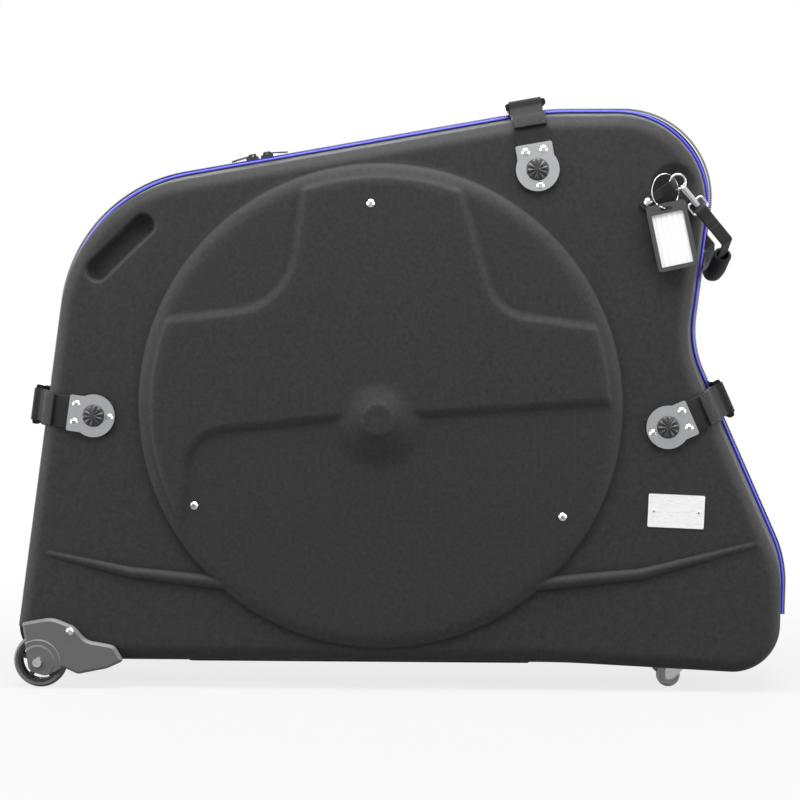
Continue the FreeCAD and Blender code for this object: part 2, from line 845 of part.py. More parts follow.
def guard():
    """Plastic housing round the luggage wheel that wraps the corner of the shell."""
    skirt = prism(guard_outline, guard_y + guard_bevel, face_y - skin_gap)
    plate = skirt.fuse(tapered(guard_outline, guard_y + guard_bevel, guard_y, guard_bevel))
    core = prism(guard_outline, face_y - skin_gap - 1.0, guard_back_y)
    core = core.common(prism(notch_corners(-skin_gap), guard_y, guard_back_y + 1))
    well = rod(wheel_x, wheel_z, well_radius, well_front_y, well_back_y)
    step = guard_y - guard_boss_height / 2
    top = guard_y - guard_boss_height
    boss = turned(wheel_x, wheel_z, [(0.0, guard_y + 1, 0.0), (guard_boss_radius, guard_y + 1, 0.0),
                                     (guard_boss_radius * 0.92, step, 0.0), (guard_boss_radius * 0.74, step, 0.0),
                                     (guard_boss_radius * 0.66, top, 0.0), (0.0, top, 0.0)])
    boss = boss.common(prism(guard_outline, guard_y - guard_boss_height - 1, guard_y + 2))
    bore = rod(wheel_x, wheel_z, axle_radius + skin_gap, top - 1, guard_back_y + 1)
    hole = rod(guard_rivet_x, guard_rivet_z, rivet_shank_radius + skin_gap, guard_y - 1, face_y + 1)
    return plate.fuse([core, boss]).cut([well, bore, hole])


def axle():
    """Axle bolt with its head on the guard and its end in the guard's back wall."""
    head_y = guard_y - guard_boss_height - seat
    head = Part.makeCone(axle_head_radius, axle_head_radius * 0.75, axle_head_height, Vector(wheel_x, head_y, wheel_z),
                         -Y_AXIS)
    shank = rod(wheel_x, wheel_z, axle_radius, head_y - 1, guard_back_y)
    socket = rod(wheel_x, wheel_z, axle_radius * 0.7, head_y - axle_head_height - 1, head_y - axle_head_height + 2.5)
    return shank.fuse(head).cut(socket)


def tyre():
    """Solid rubber tread with rounded shoulders."""
    y0, y1 = wheel_front_y, wheel_back_y
    profile = [(tyre_bore, y0 + 2, 0.0), (wheel_radius - 4, y0, 0.0), (wheel_radius, y0 + 8, 7.0),
               (wheel_radius, y1 - 8, 7.0), (wheel_radius - 4, y1, 0.0), (tyre_bore, y1 - 2, 0.0)]
    return turned(wheel_x, wheel_z, profile)


def wheel_hub():
    """Spoked plastic hub inside the tread."""
    outer = tyre_bore - skin_gap
    y0, y1 = wheel_front_y + 3, wheel_back_y - 3
    rim = rod(wheel_x, wheel_z, outer, y0, y1).cut(rod(wheel_x, wheel_z, outer - 4, y0 - 1, y1 + 1))
    boss = rod(wheel_x, wheel_z, axle_radius + 5, wheel_front_y - wheel_inset, wheel_back_y + 1)
    spokes = []
    for k in range(hub_spokes):
        spoke = box(axle_radius + 2, y0 + 2, -3.2, outer - 2, y1 - 2, 3.2)
        spokes.append(placed(spoke, wheel_x, 0, wheel_z, 360.0 / hub_spokes * k + 20.0))
    hub = rim.fuse([boss] + spokes)
    return hub.cut(rod(wheel_x, wheel_z, axle_radius + running_gap, wheel_front_y - 10, wheel_back_y + 10))


def caster_mount():
    """Mounting plate with bearing race and headed kingpin."""
    top = caster_pocket_top - skin_gap
    low = top - caster_plate_thickness
    race = low - caster_race_height
    crown = race - running_gap - caster_crown_thickness
    head = crown - running_gap - 2.0
    base = Vector(caster_x, caster_y, 0)
    plate = Part.makeCylinder(caster_plate_radius, caster_plate_thickness, base + Vector(0, 0, low), Z_AXIS)
    ring = Part.makeCylinder(caster_race_radius, caster_race_height + 1, base + Vector(0, 0, race), Z_AXIS)
    pin = Part.makeCylinder(caster_pin_radius, low - head, base + Vector(0, 0, head), Z_AXIS)
    cap = Part.makeCylinder(caster_pin_head, 2.0, base + Vector(0, 0, head), Z_AXIS)
    mount = plate.fuse([ring, pin, cap])
    holes = [Part.makeCylinder(rivet_shank_radius + skin_gap, top - low + 2, Vector(x, y, low - 1), Z_AXIS)
             for x, y in caster_points()]
    return mount.cut(holes)


def crown_low():
    race = caster_pocket_top - skin_gap - caster_plate_thickness - caster_race_height
    return race - running_gap - caster_crown_thickness


def caster_fork():
    """Bent steel fork that turns on the kingpin and trails its wheel."""
    low = crown_low()
    half = caster_width / 2 + 1.0 + caster_leg_thickness
    axle_x = caster_x - caster_trail
    reach = caster_race_radius + 3.0
    leg = [(axle_x - 6, caster_radius - 5.5, 5.0), (axle_x - 5, caster_radius + 8, 4.0), (caster_x - reach, low, 0.0),
           (caster_x - reach, low + caster_crown_thickness, 0.0), (caster_x + reach, low + caster_crown_thickness, 0.0),
           (caster_x + reach, low - 3, 3.0), (axle_x + 7, caster_radius - 5.5, 5.0)]
    inner = half - caster_leg_thickness
    legs = [prism(leg, caster_y - half, caster_y - inner), prism(leg, caster_y + inner, caster_y + half)]
    crown = box(caster_x - reach, caster_y - half, low, caster_x + reach, caster_y + half, low + caster_crown_thickness)
    fork = crown.fuse(legs)
    bore = Part.makeCylinder(caster_pin_radius + running_gap, 20, Vector(caster_x, caster_y, low - 5), Z_AXIS)
    hole = rod(axle_x, caster_radius, caster_axle_radius + skin_gap, caster_y - half - 1, caster_y + half + 1)
    return fork.cut([bore, hole])


def caster_axle():
    half = caster_width / 2 + 1.0 + caster_leg_thickness + seat
    x = caster_x - caster_trail
    pin = rod(x, caster_radius, caster_axle_radius, caster_y - half - 1, caster_y + half + 1)
    heads = [rod(x, caster_radius, caster_axle_radius + 2, caster_y - half - 1.5, caster_y - half),
             rod(x, caster_radius, caster_axle_radius + 2, caster_y + half, caster_y + half + 1.5)]
    return pin.fuse(heads)


def caster_wheel():
    x = caster_x - caster_trail
    y0, y1 = caster_y - caster_width / 2, caster_y + caster_width / 2
    bore = caster_axle_radius + running_gap
    profile = [(bore, y0, 0.0), (caster_radius * 0.5, y0, 0.0), (caster_radius * 0.55, y0 + 2, 0.0),
               (caster_radius * 0.75, y0 + 2, 0.0), (caster_radius * 0.8, y0, 0.0), (caster_radius, y0 + 3, 3.0),
               (caster_radius, y1 - 3, 3.0), (caster_radius * 0.8, y1, 0.0), (bore, y1, 0.0)]
    return turned(x, caster_radius, profile)


def hook_y():
    """Middle plane of the snap hook's ring, level with the tab's eye."""
    return face_y - skin_gap - 2 * tab_layer - tab_eye_lift


def grip_start():
    """Drooping arc of the grip, its front mouth and the direction into it."""
    curve = Part.Arc(Vector(grip_end_x, -grip_end_y, grip_end_z), Vector(grip_mid_x, 0, grip_mid_z),
                     Vector(grip_end_x, grip_end_y, grip_end_z)).toShape()
    first = curve.FirstParameter
    return curve, curve.valueAt(first), curve.tangentAt(first)


def strap_fold():
    """Where the handle strap turns over the edge of the case, in line with the grip's mouth."""
    curve, mouth, tangent = grip_start()
    return mouth - tangent * ((mouth.y - hook_y()) / tangent.y)


def hook_angle():
    """The hook points from the middle of its ring straight at the strap's fold."""
    fold = strap_fold()
    return math.degrees(math.atan2(fold.z - hook_z, fold.x - hook_x))


def tab_frame():
    """Length and angle of the anchor tab from its rivet to the middle of its eye."""
    dx, dz = hook_x - anchor_rivet_x, hook_z - anchor_rivet_z
    return math.hypot(dx, dz) - hook_ring_radius, math.degrees(math.atan2(dz, dx))


def anchor_tab():
    """Folded webbing tab: two layers under the rivet that part into an eye for the hook."""
    length, angle = tab_frame()
    back = face_y - skin_gap
    front = back - 2 * tab_layer
    outer = tab_eye_radius + tab_layer
    y = hook_y()
    half = tab_width / 2
    pad = box(-tab_tail, front, -half, length - outer, back, half)
    loop = Part.makeCylinder(outer, tab_width, Vector(length, y, -half), Z_AXIS)
    wedge_points = [Vector(length - 2.4 * outer, front, -half), Vector(length - 2.4 * outer, back, -half),
                    Vector(length - 0.3 * outer, y + 0.95 * outer, -half),
                    Vector(length - 0.3 * outer, y - 0.95 * outer, -half)]
    wedge = Part.Face(Part.makePolygon(wedge_points + wedge_points[:1])).extrude(Vector(0, 0, tab_width))
    eye = Part.makeCylinder(tab_eye_radius, tab_width + 2, Vector(length, y, -half - 1), Z_AXIS)
    hole = rod(0, 0, rivet_shank_radius + skin_gap, front - 1, back + 1)
    tab = pad.fuse([loop, wedge]).cut([eye, hole])
    return placed(tab, anchor_rivet_x, 0, anchor_rivet_z, angle)


def ring_arc(start, end):
    """Part of the hook's ring between two angles from the barrel."""
    y = hook_y()
    a = math.radians(start)
    centre = Vector(hook_ring_radius * math.cos(a), y, hook_ring_radius * math.sin(a))
    circle = Part.Wire(Part.Circle(centre, Vector(-math.sin(a), 0, math.cos(a)), hook_wire_radius).toShape())
    return Part.Face(circle).revolve(Vector(0, y, 0), -Y_AXIS, end - start)


def hook():
    """Snap hook: open ring, barrel and swivel post."""
    y = hook_y()
    axis = Vector(1, 0, 0)
    swing = Part.makeSphere(gate_reach() + hook_gate_gap, gate_pivot())
    nose = ring_arc(hook_gate_end - hook_gate_spare, 180.0).cut(swing)
    ring = ring_arc(180.0, hook_ring_end)
    barrel = Part.makeCylinder(hook_barrel_radius, hook_barrel_end - hook_barrel_start, Vector(hook_barrel_start, y, 0),
                               axis)
    neck = Part.makeCone(hook_wire_radius * 1.2, hook_barrel_radius, 4.0, Vector(hook_barrel_start - 4, y, 0), axis)
    head = eye_reach - eye_wire_radius * 2 - 6.0
    post = Part.makeCylinder(hook_post_radius, head - hook_barrel_end + 2, Vector(hook_barrel_end - 1, y, 0), axis)
    cap = Part.makeCylinder(hook_post_radius + 1.6, 2.0, Vector(head, y, 0), axis)
    gate_slot = Part.makeSphere(hook_gate_ball + hook_gate_gap, gate_pivot())
    body = ring.fuse([nose, neck, barrel, post, cap]).cut(gate_slot)
    return placed(body, hook_x, 0, hook_z, hook_angle())


def gate_pivot():
    """Middle of the gate's pivot, on the ring beside the barrel."""
    a = math.radians(hook_gate_pivot)
    return Vector(hook_ring_radius * math.cos(a), hook_y(), hook_ring_radius * math.sin(a))


def gate_reach():
    """Distance from the gate's pivot to its tip."""
    return 2 * hook_ring_radius * math.sin(math.radians(hook_gate_end - hook_gate_pivot) / 2)


def hook_gate():
    """Sprung gate that closes the open stretch of the ring, with a thumb stud."""
    pivot = gate_pivot()
    arc = ring_arc(hook_gate_pivot, hook_gate_end + hook_gate_spare)
    arc = arc.common(Part.makeSphere(gate_reach(), pivot))
    ball = Part.makeSphere(hook_gate_ball, pivot)
    return placed(arc.fuse(ball), hook_x, 0, hook_z, hook_angle())


def hook_eye():
    """Swivel loop on the hook's post that carries the handle strap."""
    y = hook_y()
    axis = Vector(1, 0, 0)
    wire = eye_wire_radius
    start = hook_barrel_end + skin_gap
    head = eye_reach - wire * 2 - 6.0
    near = start + wire * 1.6
    bend = wire * 2
    corners = [(near, 0.0, 0.0), (near, eye_half_width, bend), (eye_reach, eye_half_width, bend),
               (eye_reach, -eye_half_width, bend), (near, -eye_half_width, bend)]
    spine = Part.Wire(path_edges(corners, True, lambda a, b: Vector(a, y, b)))
    section = Part.Wire(Part.Circle(Vector(near, y, 0), Z_AXIS, wire).toShape())
    loop = spine.makePipeShell([section], True, False)
    collar = Part.makeCylinder(hook_post_radius + 2.2, head - skin_gap - start, Vector(start, y, 0), axis)
    bore = Part.makeCylinder(hook_post_radius + skin_gap, head - start + 2, Vector(start - 1, y, 0), axis)
    return placed(loop.fuse(collar).cut(bore), hook_x, 0, hook_z, hook_angle())


def slab(start, end, side, width, thickness):
    """Flat strip from start to end, its width along side."""
    run = end - start
    across = (side - run * (side.dot(run) / run.dot(run))).normalize() * width
    up = run.cross(across).normalize() * thickness
    corner = start - across / 2 - up / 2
    points = [corner, corner + across, corner + across + up, corner + up]
    return Part.Face(Part.makePolygon(points + points[:1])).extrude(run)


def handle_strap():
    """Webbing from the hook's eye along the face, folded over the edge into the grip."""
    curve, mouth, tangent = grip_start()
    fold = strap_fold()
    a = math.radians(hook_angle())
    along = Vector(math.cos(a), 0, math.sin(a))
    side = Vector(-math.sin(a), 0, math.cos(a))
    bar = Vector(hook_x, hook_y(), hook_z) + along * eye_reach
    low = bar - side * (handle_strap_width / 2)
    loop = eye_wire_radius + skin_gap
    outer = loop + handle_strap_thickness
    ring = Part.makeCylinder(outer, handle_strap_width, low, side)
    bore = Part.makeCylinder(loop, handle_strap_width, low, side)
    flat = slab(bar + along * loop, fold, side, handle_strap_width, handle_strap_thickness)
    bend = Part.makeCylinder(handle_strap_thickness / 2, handle_strap_width, fold - side * (handle_strap_width / 2), side)
    tail = slab(fold, mouth + tangent * handle_insert, side, handle_strap_width, handle_strap_thickness)
    return flat.fuse([ring, bend, tail]).cut(bore)


def handle_grip():
    """Soft wrap-round grip, open at both ends for the two straps."""
    curve, mouth, tangent = grip_start()
    spine = Part.Wire(curve)
    outer = Part.Wire(Part.Circle(mouth, tangent, grip_radius).toShape())
    inner = Part.Wire(Part.Circle(mouth, tangent, grip_bore).toShape())
    return spine.makePipeShell([outer], True, False).cut(spine.makePipeShell([inner], True, False))


def tag_origin():
    """Where the tag's loop goes round the anchor tab, and the angle of that tab."""
    length, angle = tab_frame()
    a = math.radians(angle)
    reach = length * tag_site
    return anchor_rivet_x + reach * math.cos(a), anchor_rivet_z + reach * math.sin(a), angle


def tag_levels():
    """Back and front of the tag."""
    back = face_y - tag_stand
    return back, back - tag_thickness


def tag_loop():
    """Thin loop round the anchor tab and through the slot of the tag."""
    x, z, angle = tag_origin()
    back, front = tag_levels()
    tab_back = face_y - skin_gap
    tab_front = tab_back - 2 * tab_layer
    half = loop_thickness / 2
    top = tab_width / 2 + 2.2
    under = tab_width / 2 + 2.0
    behind = tab_back + 1.2 + half
    before = tab_front - 2.2 - half
    bar_back = back + 0.5 + half
    bar_front = front - 0.5 - half
    lead = tag_loop_reach - tag_loop_lead
    reach = tag_loop_reach + tag_top_bar + tag_slot_height * 0.5
    points = [(top, behind, 1.2), (top, before, 1.2), (-under, before, 3.0), (-lead, bar_front, 2.5),
              (-reach, bar_front, 1.2), (-reach, bar_back, 1.2), (-lead, bar_back, 2.5), (-under, behind, 3.0)]
    return placed(ribbon(points, loop_thickness, loop_width, True), x, 0, z, angle)


def tag_place():
    """Middle of the tag's top edge and its lean."""
    x, z, angle = tag_origin()
    a = math.radians(angle)
    return x + tag_loop_reach * math.sin(a), z - tag_loop_reach * math.cos(a)


def on_tag(shape):
    x, z = tag_place()
    return placed(shape, x, 0, z, tag_tilt)


def tag_frame():
    """Moulded frame with a sunken bed for the card, a window opening and a slot for the loop."""
    back, front = tag_levels()
    half = tag_width / 2
    body = prism(rectangle(-half, -tag_height, half, 0.0, tag_corner), front, back)
    bed = prism(rectangle(tag_border - half, tag_border - tag_height, half - tag_border, -tag_head, 2.0), front - 1,
                front + tag_thickness * 0.6)
    slot_top = -tag_top_bar
    slot = prism(rectangle(-tag_slot_width / 2, slot_top - tag_slot_height, tag_slot_width / 2, slot_top, 2.0), front - 1,
                 back + 1)
    return on_tag(body.cut([bed, slot]))


def tag_sheet(y0, thickness):
    """Sheet that fills the bed of the tag."""
    gap = skin_gap
    half = tag_width / 2
    corners = rectangle(tag_border - half + gap, tag_border - tag_height + gap, half - tag_border - gap, -tag_head - gap, 1.7)
    return on_tag(prism(corners, y0 - thickness, y0))


def tag_card():
    back, front = tag_levels()
    return tag_sheet(front + tag_thickness * 0.6 - seat, card_thickness)


def tag_window():
    back, front = tag_levels()
    return tag_sheet(front + tag_thickness * 0.6 - card_thickness - 2 * seat, window_thickness)


def nameplate():
    """Thin metal plate on the face."""
    half_w, half_h = nameplate_width / 2, nameplate_height / 2
    y1 = face_y - seat
    y0 = y1 - nameplate_thickness
    plate = prism(rectangle(-half_w, -half_h, half_w, half_h, nameplate_corner), y0, y1)
    holes = [rod(way * nameplate_rivet_reach, 0, nameplate_rivet_radius / 2 + skin_gap, y0 - 1, y1 + 1)
             for way in (-1.0, 1.0)]
    return placed(plate.cut(holes), nameplate_x, 0, nameplate_z, nameplate_tilt)


def nameplate_rivets():
    front = face_y - 2 * seat - nameplate_thickness
    found = []
    for x, z in nameplate_points():
        head = Part.makeCone(nameplate_rivet_radius, nameplate_rivet_radius * 0.6, 1.0, Vector(x, front, z), -Y_AXIS)
        shank = rod(x, z, nameplate_rivet_radius / 2, front - 0.3, inner_y + 1.0)
        tail = rod(x, z, nameplate_rivet_radius, inner_y + seat, inner_y + 1.0)
        found.append(head.fuse([shank, tail]))
    return group(found)


def zip_slider():
    """Slider that straddles the coil, with a bail for the puller; local X along the zip."""
    half = slider_length / 2
    top = coil_height + running_gap + slider_plate
    body = box(-half, -slider_half_width, slider_skirt, half, slider_half_width, top)
    channel = box(-half - 1, -coil_half_width - running_gap, slider_skirt - 1, half + 1, coil_half_width + running_gap,
                  coil_height + running_gap)
    thick = slider_bail_thickness / 2
    rise = top + slider_bail_height
    corners = [(-7.0, top - 1, 0.0), (-6.0, rise, 3.0), (6.0, rise, 3.0), (7.0, top - 1, 0.0)]
    bail = prism(corners, -thick, thick)
    eye = rod(0, top + slider_bail_height / 2, puller_bore, -thick - 1, thick + 1)
    return body.cut(channel).fuse(bail).cut(eye)


def puller_axis_height():
    return coil_height + running_gap + slider_plate + slider_bail_height / 2


def zip_puller():
    """Tongue with a padlock hole, hung on the slider's bail; lies along local -X at the height of its pin."""
    inner = slider_bail_thickness / 2 + running_gap
    outer = inner + puller_arm
    pin = rod(0, 0, puller_pin_radius, -outer, outer)
    arm_end = -(slider_length / 2 - 1)
    thick = puller_thickness / 2
    arms = [box(arm_end, inner, -thick, puller_pin_radius, outer, thick),
            box(arm_end, -outer, -thick, puller_pin_radius, -inner, thick)]
    half = puller_width / 2
    tongue = [(-puller_length, -half), (-puller_length, half), (arm_end + 1, half), (arm_end + 1, -half)]
    corners = [(a, b, 3.0) for a, b in tongue]
    flat = Part.Face(Part.Wire(path_edges(corners, True, lambda a, b: Vector(a, b, -thick)))).extrude(
        Vector(0, 0, puller_thickness))
    hole = Part.makeCylinder(puller_hole_radius, puller_thickness * 3, Vector(-puller_length + half, 0, -puller_thickness),
                             Z_AXIS)
    return pin.fuse(arms + [flat]).cut(hole)


def hung_puller(along, turn):
    """Puller on a slider, with its tip let down on to the zip."""
    shape = zip_puller()
    shape.rotate(Vector(0, 0, 0), Y_AXIS, -puller_droop)
    shape.rotate(Vector(0, 0, 0), Z_AXIS, turn)
    shape.translate(Vector(0, 0, puller_axis_height()))
    return on_side(shape, "top", along)


def on_straps(make):
    """One piece for each closing strap, set on its side of the case."""
    return group([on_side(make(setback), side, along) for side, along, setback in strap_sites])


def on_buckles(shape):
    return group([on_side(shape, side, along) for side, along, setback in strap_sites])


def both(name, shape, pieces):
    """A front piece and its mirror image on the rear half."""
    pieces["front_" + name] = shape
    pieces["rear_" + name] = mirrored(shape)


def all_pieces():
    pieces = {}
    pieces["front_shell"] = shell(True)
    pieces["rear_shell"] = mirrored(shell(False))
    both("piping", piping(), pieces)
    both("zip_tape", zip_tape(), pieces)
    both("hinge_leaf", hinge_leaf(), pieces)
    both("straps", on_straps(strap), pieces)
    both("strap_plates", on_straps(strap_plate), pieces)
    both("strap_studs", on_straps(strap_stud), pieces)
    both("rivets", rivets(), pieces)
    both("hold_straps", hold_straps(), pieces)
    both("wheel_guard", guard(), pieces)
    both("axle", axle(), pieces)
    both("tyre", tyre(), pieces)
    both("wheel_hub", wheel_hub(), pieces)
    both("caster_mount", caster_mount(), pieces)
    both("caster_fork", caster_fork(), pieces)
    both("caster_axle", caster_axle(), pieces)
    both("caster_wheel", caster_wheel(), pieces)
    both("anchor_tab", anchor_tab(), pieces)
    both("hook", hook(), pieces)
    both("hook_gate", hook_gate(), pieces)
    both("hook_eye", hook_eye(), pieces)
    both("handle_strap", handle_strap(), pieces)
    pieces["buckle_sockets"] = on_buckles(buckle_socket())
    pieces["buckle_plugs"] = on_buckles(buckle_plug())
    pieces["handle_grip"] = handle_grip()
    pieces["tag_loop"] = tag_loop()
    pieces["tag_frame"] = tag_frame()
    pieces["tag_card"] = tag_card()
    pieces["tag_window"] = tag_window()
    pieces["nameplate"] = nameplate()
    pieces["nameplate_rivets"] = nameplate_rivets()
    pieces["left_zip_slider"] = on_side(zip_slider(), "top", slider_along[0])
    pieces["right_zip_slider"] = on_side(zip_slider(), "top", slider_along[1])
    pieces["left_zip_puller"] = hung_puller(slider_along[0], 0.0)
    pieces["right_zip_puller"] = hung_puller(slider_along[1], 180.0)
    return pieces


os.makedirs("parts", exist_ok=True)
for name, shape in all_pieces().items():
    print(name, len(shape.Solids), shape.isValid(), round(shape.Volume / 1000, 2))
    shape.exportStep("parts/" + name + ".step")
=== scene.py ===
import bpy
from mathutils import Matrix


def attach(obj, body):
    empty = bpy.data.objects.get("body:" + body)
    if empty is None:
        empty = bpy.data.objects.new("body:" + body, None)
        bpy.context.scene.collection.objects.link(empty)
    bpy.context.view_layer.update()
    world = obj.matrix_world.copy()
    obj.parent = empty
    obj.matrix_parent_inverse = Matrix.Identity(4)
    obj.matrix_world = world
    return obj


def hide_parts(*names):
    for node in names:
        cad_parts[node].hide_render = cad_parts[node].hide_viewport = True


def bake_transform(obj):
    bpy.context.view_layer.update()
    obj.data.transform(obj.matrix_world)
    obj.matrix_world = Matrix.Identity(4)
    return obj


bl_info = {
    "name": "Bike travel case",
    "version": (1, 0, 0),
    "blender": (4, 5, 0),
    "location": "View3D > Sidebar > Travel case",
    "description": "Dresses the packed model of a clamshell travel case for a bicycle",
    "category": "Object",
}

import math

import bpy
import numpy as np
from mathutils import Vector
from mathutils.geometry import delaunay_2d_cdt

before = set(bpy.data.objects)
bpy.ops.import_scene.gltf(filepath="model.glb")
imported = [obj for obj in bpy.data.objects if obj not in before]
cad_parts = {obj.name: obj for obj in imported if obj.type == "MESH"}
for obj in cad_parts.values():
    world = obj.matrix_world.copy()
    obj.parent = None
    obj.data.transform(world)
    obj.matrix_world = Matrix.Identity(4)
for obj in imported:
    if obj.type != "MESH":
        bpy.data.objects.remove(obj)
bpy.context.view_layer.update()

# Shapes that repeat the solids, in millimetres.
# X runs along the case, the front half faces -Y, Z is up.
MM = 0.001
HALF_DEPTH = 115.0
EDGE_ROUND = 24.0
DRAFT = math.radians(8.0)
RIM_SETBACK = 11.3
ZIP_GAP = 0.2
ZIP_ENDS = (132.0, 105.0)
# Corners of the seam with their radii
SEAM = [(-606.2, 25.5, 60.0), (-504.2, 757.5, 241.0), (219.3, 881.0, 461.0), (491.3, 880.5, 141.0),
        (445.3, 522.0, 155.0), (592.3, 189.0, 188.0), (588.3, 20.5, 85.0), (224.3, 25.5, 1300.0)]
BOTTOM_LIFTS = {0: 21.3, 7: 21.3, 6: 6.0}
# Depth past which the skin counts as the face
FACE_DEPTH = 100.0
DISC = (-28.2, 430.5, 364.0)
# Radius and depth down the edge of the disc, then down the cone of the hub
DISC_EDGE = ([338.0, 345.0, 350.0, 355.0, 359.0, 362.0, 364.0, 365.4, 367.0],
             [125.0, 124.7, 124.0, 122.6, 120.9, 119.2, 117.6, 115.6, 80.0])
HUB = (-29.2, 412.0)
HUB_CONE = ([0.0, 21.0, 23.6, 25.6, 30.0, 48.0, 66.0, 74.0, 80.0],
            [140.0, 139.9, 139.5, 138.4, 136.9, 131.2, 125.6, 123.0, 118.0])
BAND = [(-142.2, 830.0, 0.0), (81.8, 830.0, 0.0), (157.3, 580.5, 57.0), (398.8, 547.0, 0.0),
        (398.8, 435.5, 0.0), (18.8, 409.5, 0.0), (-77.2, 407.0, 0.0), (-308.2, 382.5, 55.0),
        (-324.2, 230.0, 0.0), (-441.2, 230.0, 0.0), (-441.2, 562.0, 0.0), (-175.2, 592.0, 90.0)]
BAND_HEIGHT = 5.0
# Points of each rib with its radius there, and the depth of their axis
RIBS = [[(-531.2, 206.0, 5.5), (-406.2, 177.5, 9.0), (-241.2, 160.0, 11.3)],
        [(537.8, 225.5, 5.5), (364.3, 179.0, 9.0), (190.8, 161.0, 11.3)]]
RIB_SPANS = [pair for line in RIBS for pair in zip(line[:-1], line[1:])]
RIB_DEPTH = 111.0
# Middle, turn, half length and half width of the hand recess; distance from its edge and how deep it is there
RECESS = (-420.2, 670.5, math.radians(43.8), 67.0, 18.0)
RECESS_WALL = ([-10.0, -6.2, -5.2, -4.0, -1.4, -0.4, 0.6, 2.0], [14.0, 13.9, 13.2, 11.4, 3.6, 1.5, 0.4, 0.0])
# Middle, radius and depth
DIMPLE = (411.3, 760.5, 35.0, 10.0)
WHEEL = (-548.7, 41.0, 49.3)
NOTCH_DEPTH = 81.7
# Middle, radius and height of the caster pocket
CASTER = (429.8, 57.0, 38.0, 52.0)
# Side of the seam, distance along it and setback of the plate
STRAPS = [(0, 407.0, 88.9), (1, 707.7, 91.6), (4, 94.4, 85.8)]
BAR_Y = -39.4
FOLD_END = 26.0
STUD_BASE = -117.9
# Radius, height and height of the radial ribs, from the foot of a stud to its top
STUD_RINGS = [(16.6, 0.0, 0.0), (16.6, 2.6, 0.0), (15.4, 3.6, 0.5), (12.0, 4.7, 1.0), (7.0, 5.4, 0.9),
              (2.5, 5.8, 0.2)]
STUD_RIBS = 10.0
# Angle round the disc, distance inside its edge and depth
DISC_RIVETS = [(92.3, 58.5, 130.0), (208.1, 46.5, 125.0), (329.2, 43.0, 125.0)]
HOOK = Vector((416.8, -121.3, 767.0))
HOOK_BAR = 55.0
ANCHOR = Vector((373.3, 0.0, 737.0))
GRIP_END = Vector((486.8, -92.0, 660.0))
GRIP_MIDDLE = Vector((481.8, 0.0, 634.0))
HINGE = (-328.2, 198.8, 46.0)
# Out from the seam and depth, round the section of the zip tape; place of its coil
ZIP_SECTION = [(-4.0, -11.3), (-4.0, -5.6), (1.75, -3.4), (2.4, -0.3), (3.4, -0.3), (2.7, -4.7),
               (-2.0, -6.1), (-2.0, -11.3)]
COIL = (5.0, 2.4)
# Middle and half axes of the tag's loop; angle round it and its depth there
TAG_LOOP = (398.6, 753.3, 20.0, 25.8)
TAG_LOOP_DEPTH = ([-10.0, 20.0, 60.0, 100.0, 150.0, 185.0, 230.0, 250.0, 261.0, 270.0, 279.0, 290.0, 320.0,
                   350.0],
                  [-115.0, -111.8, -113.5, -116.0, -119.5, -121.4, -123.6, -130.2, -129.4, -126.5, -123.4,
                   -122.4, -121.4, -115.0])

# Rows of points on the moulded edges: radii, distances from an edge, or shares of a rib's radius
ROW_STEP = 4.0
DISC_ROWS = (367.0, 365.4, 364.0, 362.0, 359.0, 355.0, 350.0, 345.0, 340.0)
BAND_ROWS = (0.5, 3.0, 6.0, 9.5, 13.0, 16.0, 18.5)
HUB_ROWS = (4.0, 10.0, 16.0, 21.0, 22.6, 23.6, 24.6, 25.6, 27.0, 32.0, 39.0, 46.0, 53.0, 60.0, 66.0, 70.0, 74.0,
            79.0)
RECESS_ROWS = (-12.0, -8.0, -6.2, -5.2, -4.0, -2.7, -1.4, -0.4, 0.6, 2.0, 4.5)
DIMPLE_ROWS = (5.0, 10.0, 15.0, 20.0, 25.0, 29.0, 32.0, 34.0, 36.0, 39.0)
RIB_ROWS = (-1.35, -1.15, -1.0, -0.9, -0.78, -0.6, -0.4, -0.2)

# Place, aim, width, height and power, in metres and watts
LAMPS = {"overhead": ((0.0, -0.7, 2.6), (0.0, 0.0, 0.5), 2.6, 1.2, 130.0),
         "left side": ((-2.2, -0.5, 0.7), (0.0, 0.0, 0.4), 1.4, 1.6, 44.0),
         "right side": ((2.2, -0.5, 0.7), (0.0, 0.0, 0.4), 1.4, 1.6, 40.0),
         "behind": ((0.0, 2.6, 1.2), (0.0, 0.0, 0.42), 2.4, 1.4, 70.0)}
WHITE = (1.0, 1.0, 1.0, 1.0)


def linear(code):
    """Linear colour of an sRGB hex code."""
    parts = [int(code[i:i + 2], 16) / 255.0 for i in (1, 3, 5)]
    return [c / 12.92 if c <= 0.04045 else ((c + 0.055) / 1.055) ** 2.4 for c in parts] + [1.0]


def length(name, description, default):
    return bpy.props.FloatProperty(name=name, description=description, default=default, min=0.0, unit='LENGTH')


def bearing(name, description, degrees):
    return bpy.props.FloatProperty(name=name, description=description, default=math.radians(degrees),
                                   subtype='ANGLE')


def colour(name, description, code):
    return bpy.props.FloatVectorProperty(name=name, description=description, default=linear(code), size=4,
                                         subtype='COLOR', min=0.0, max=1.0)


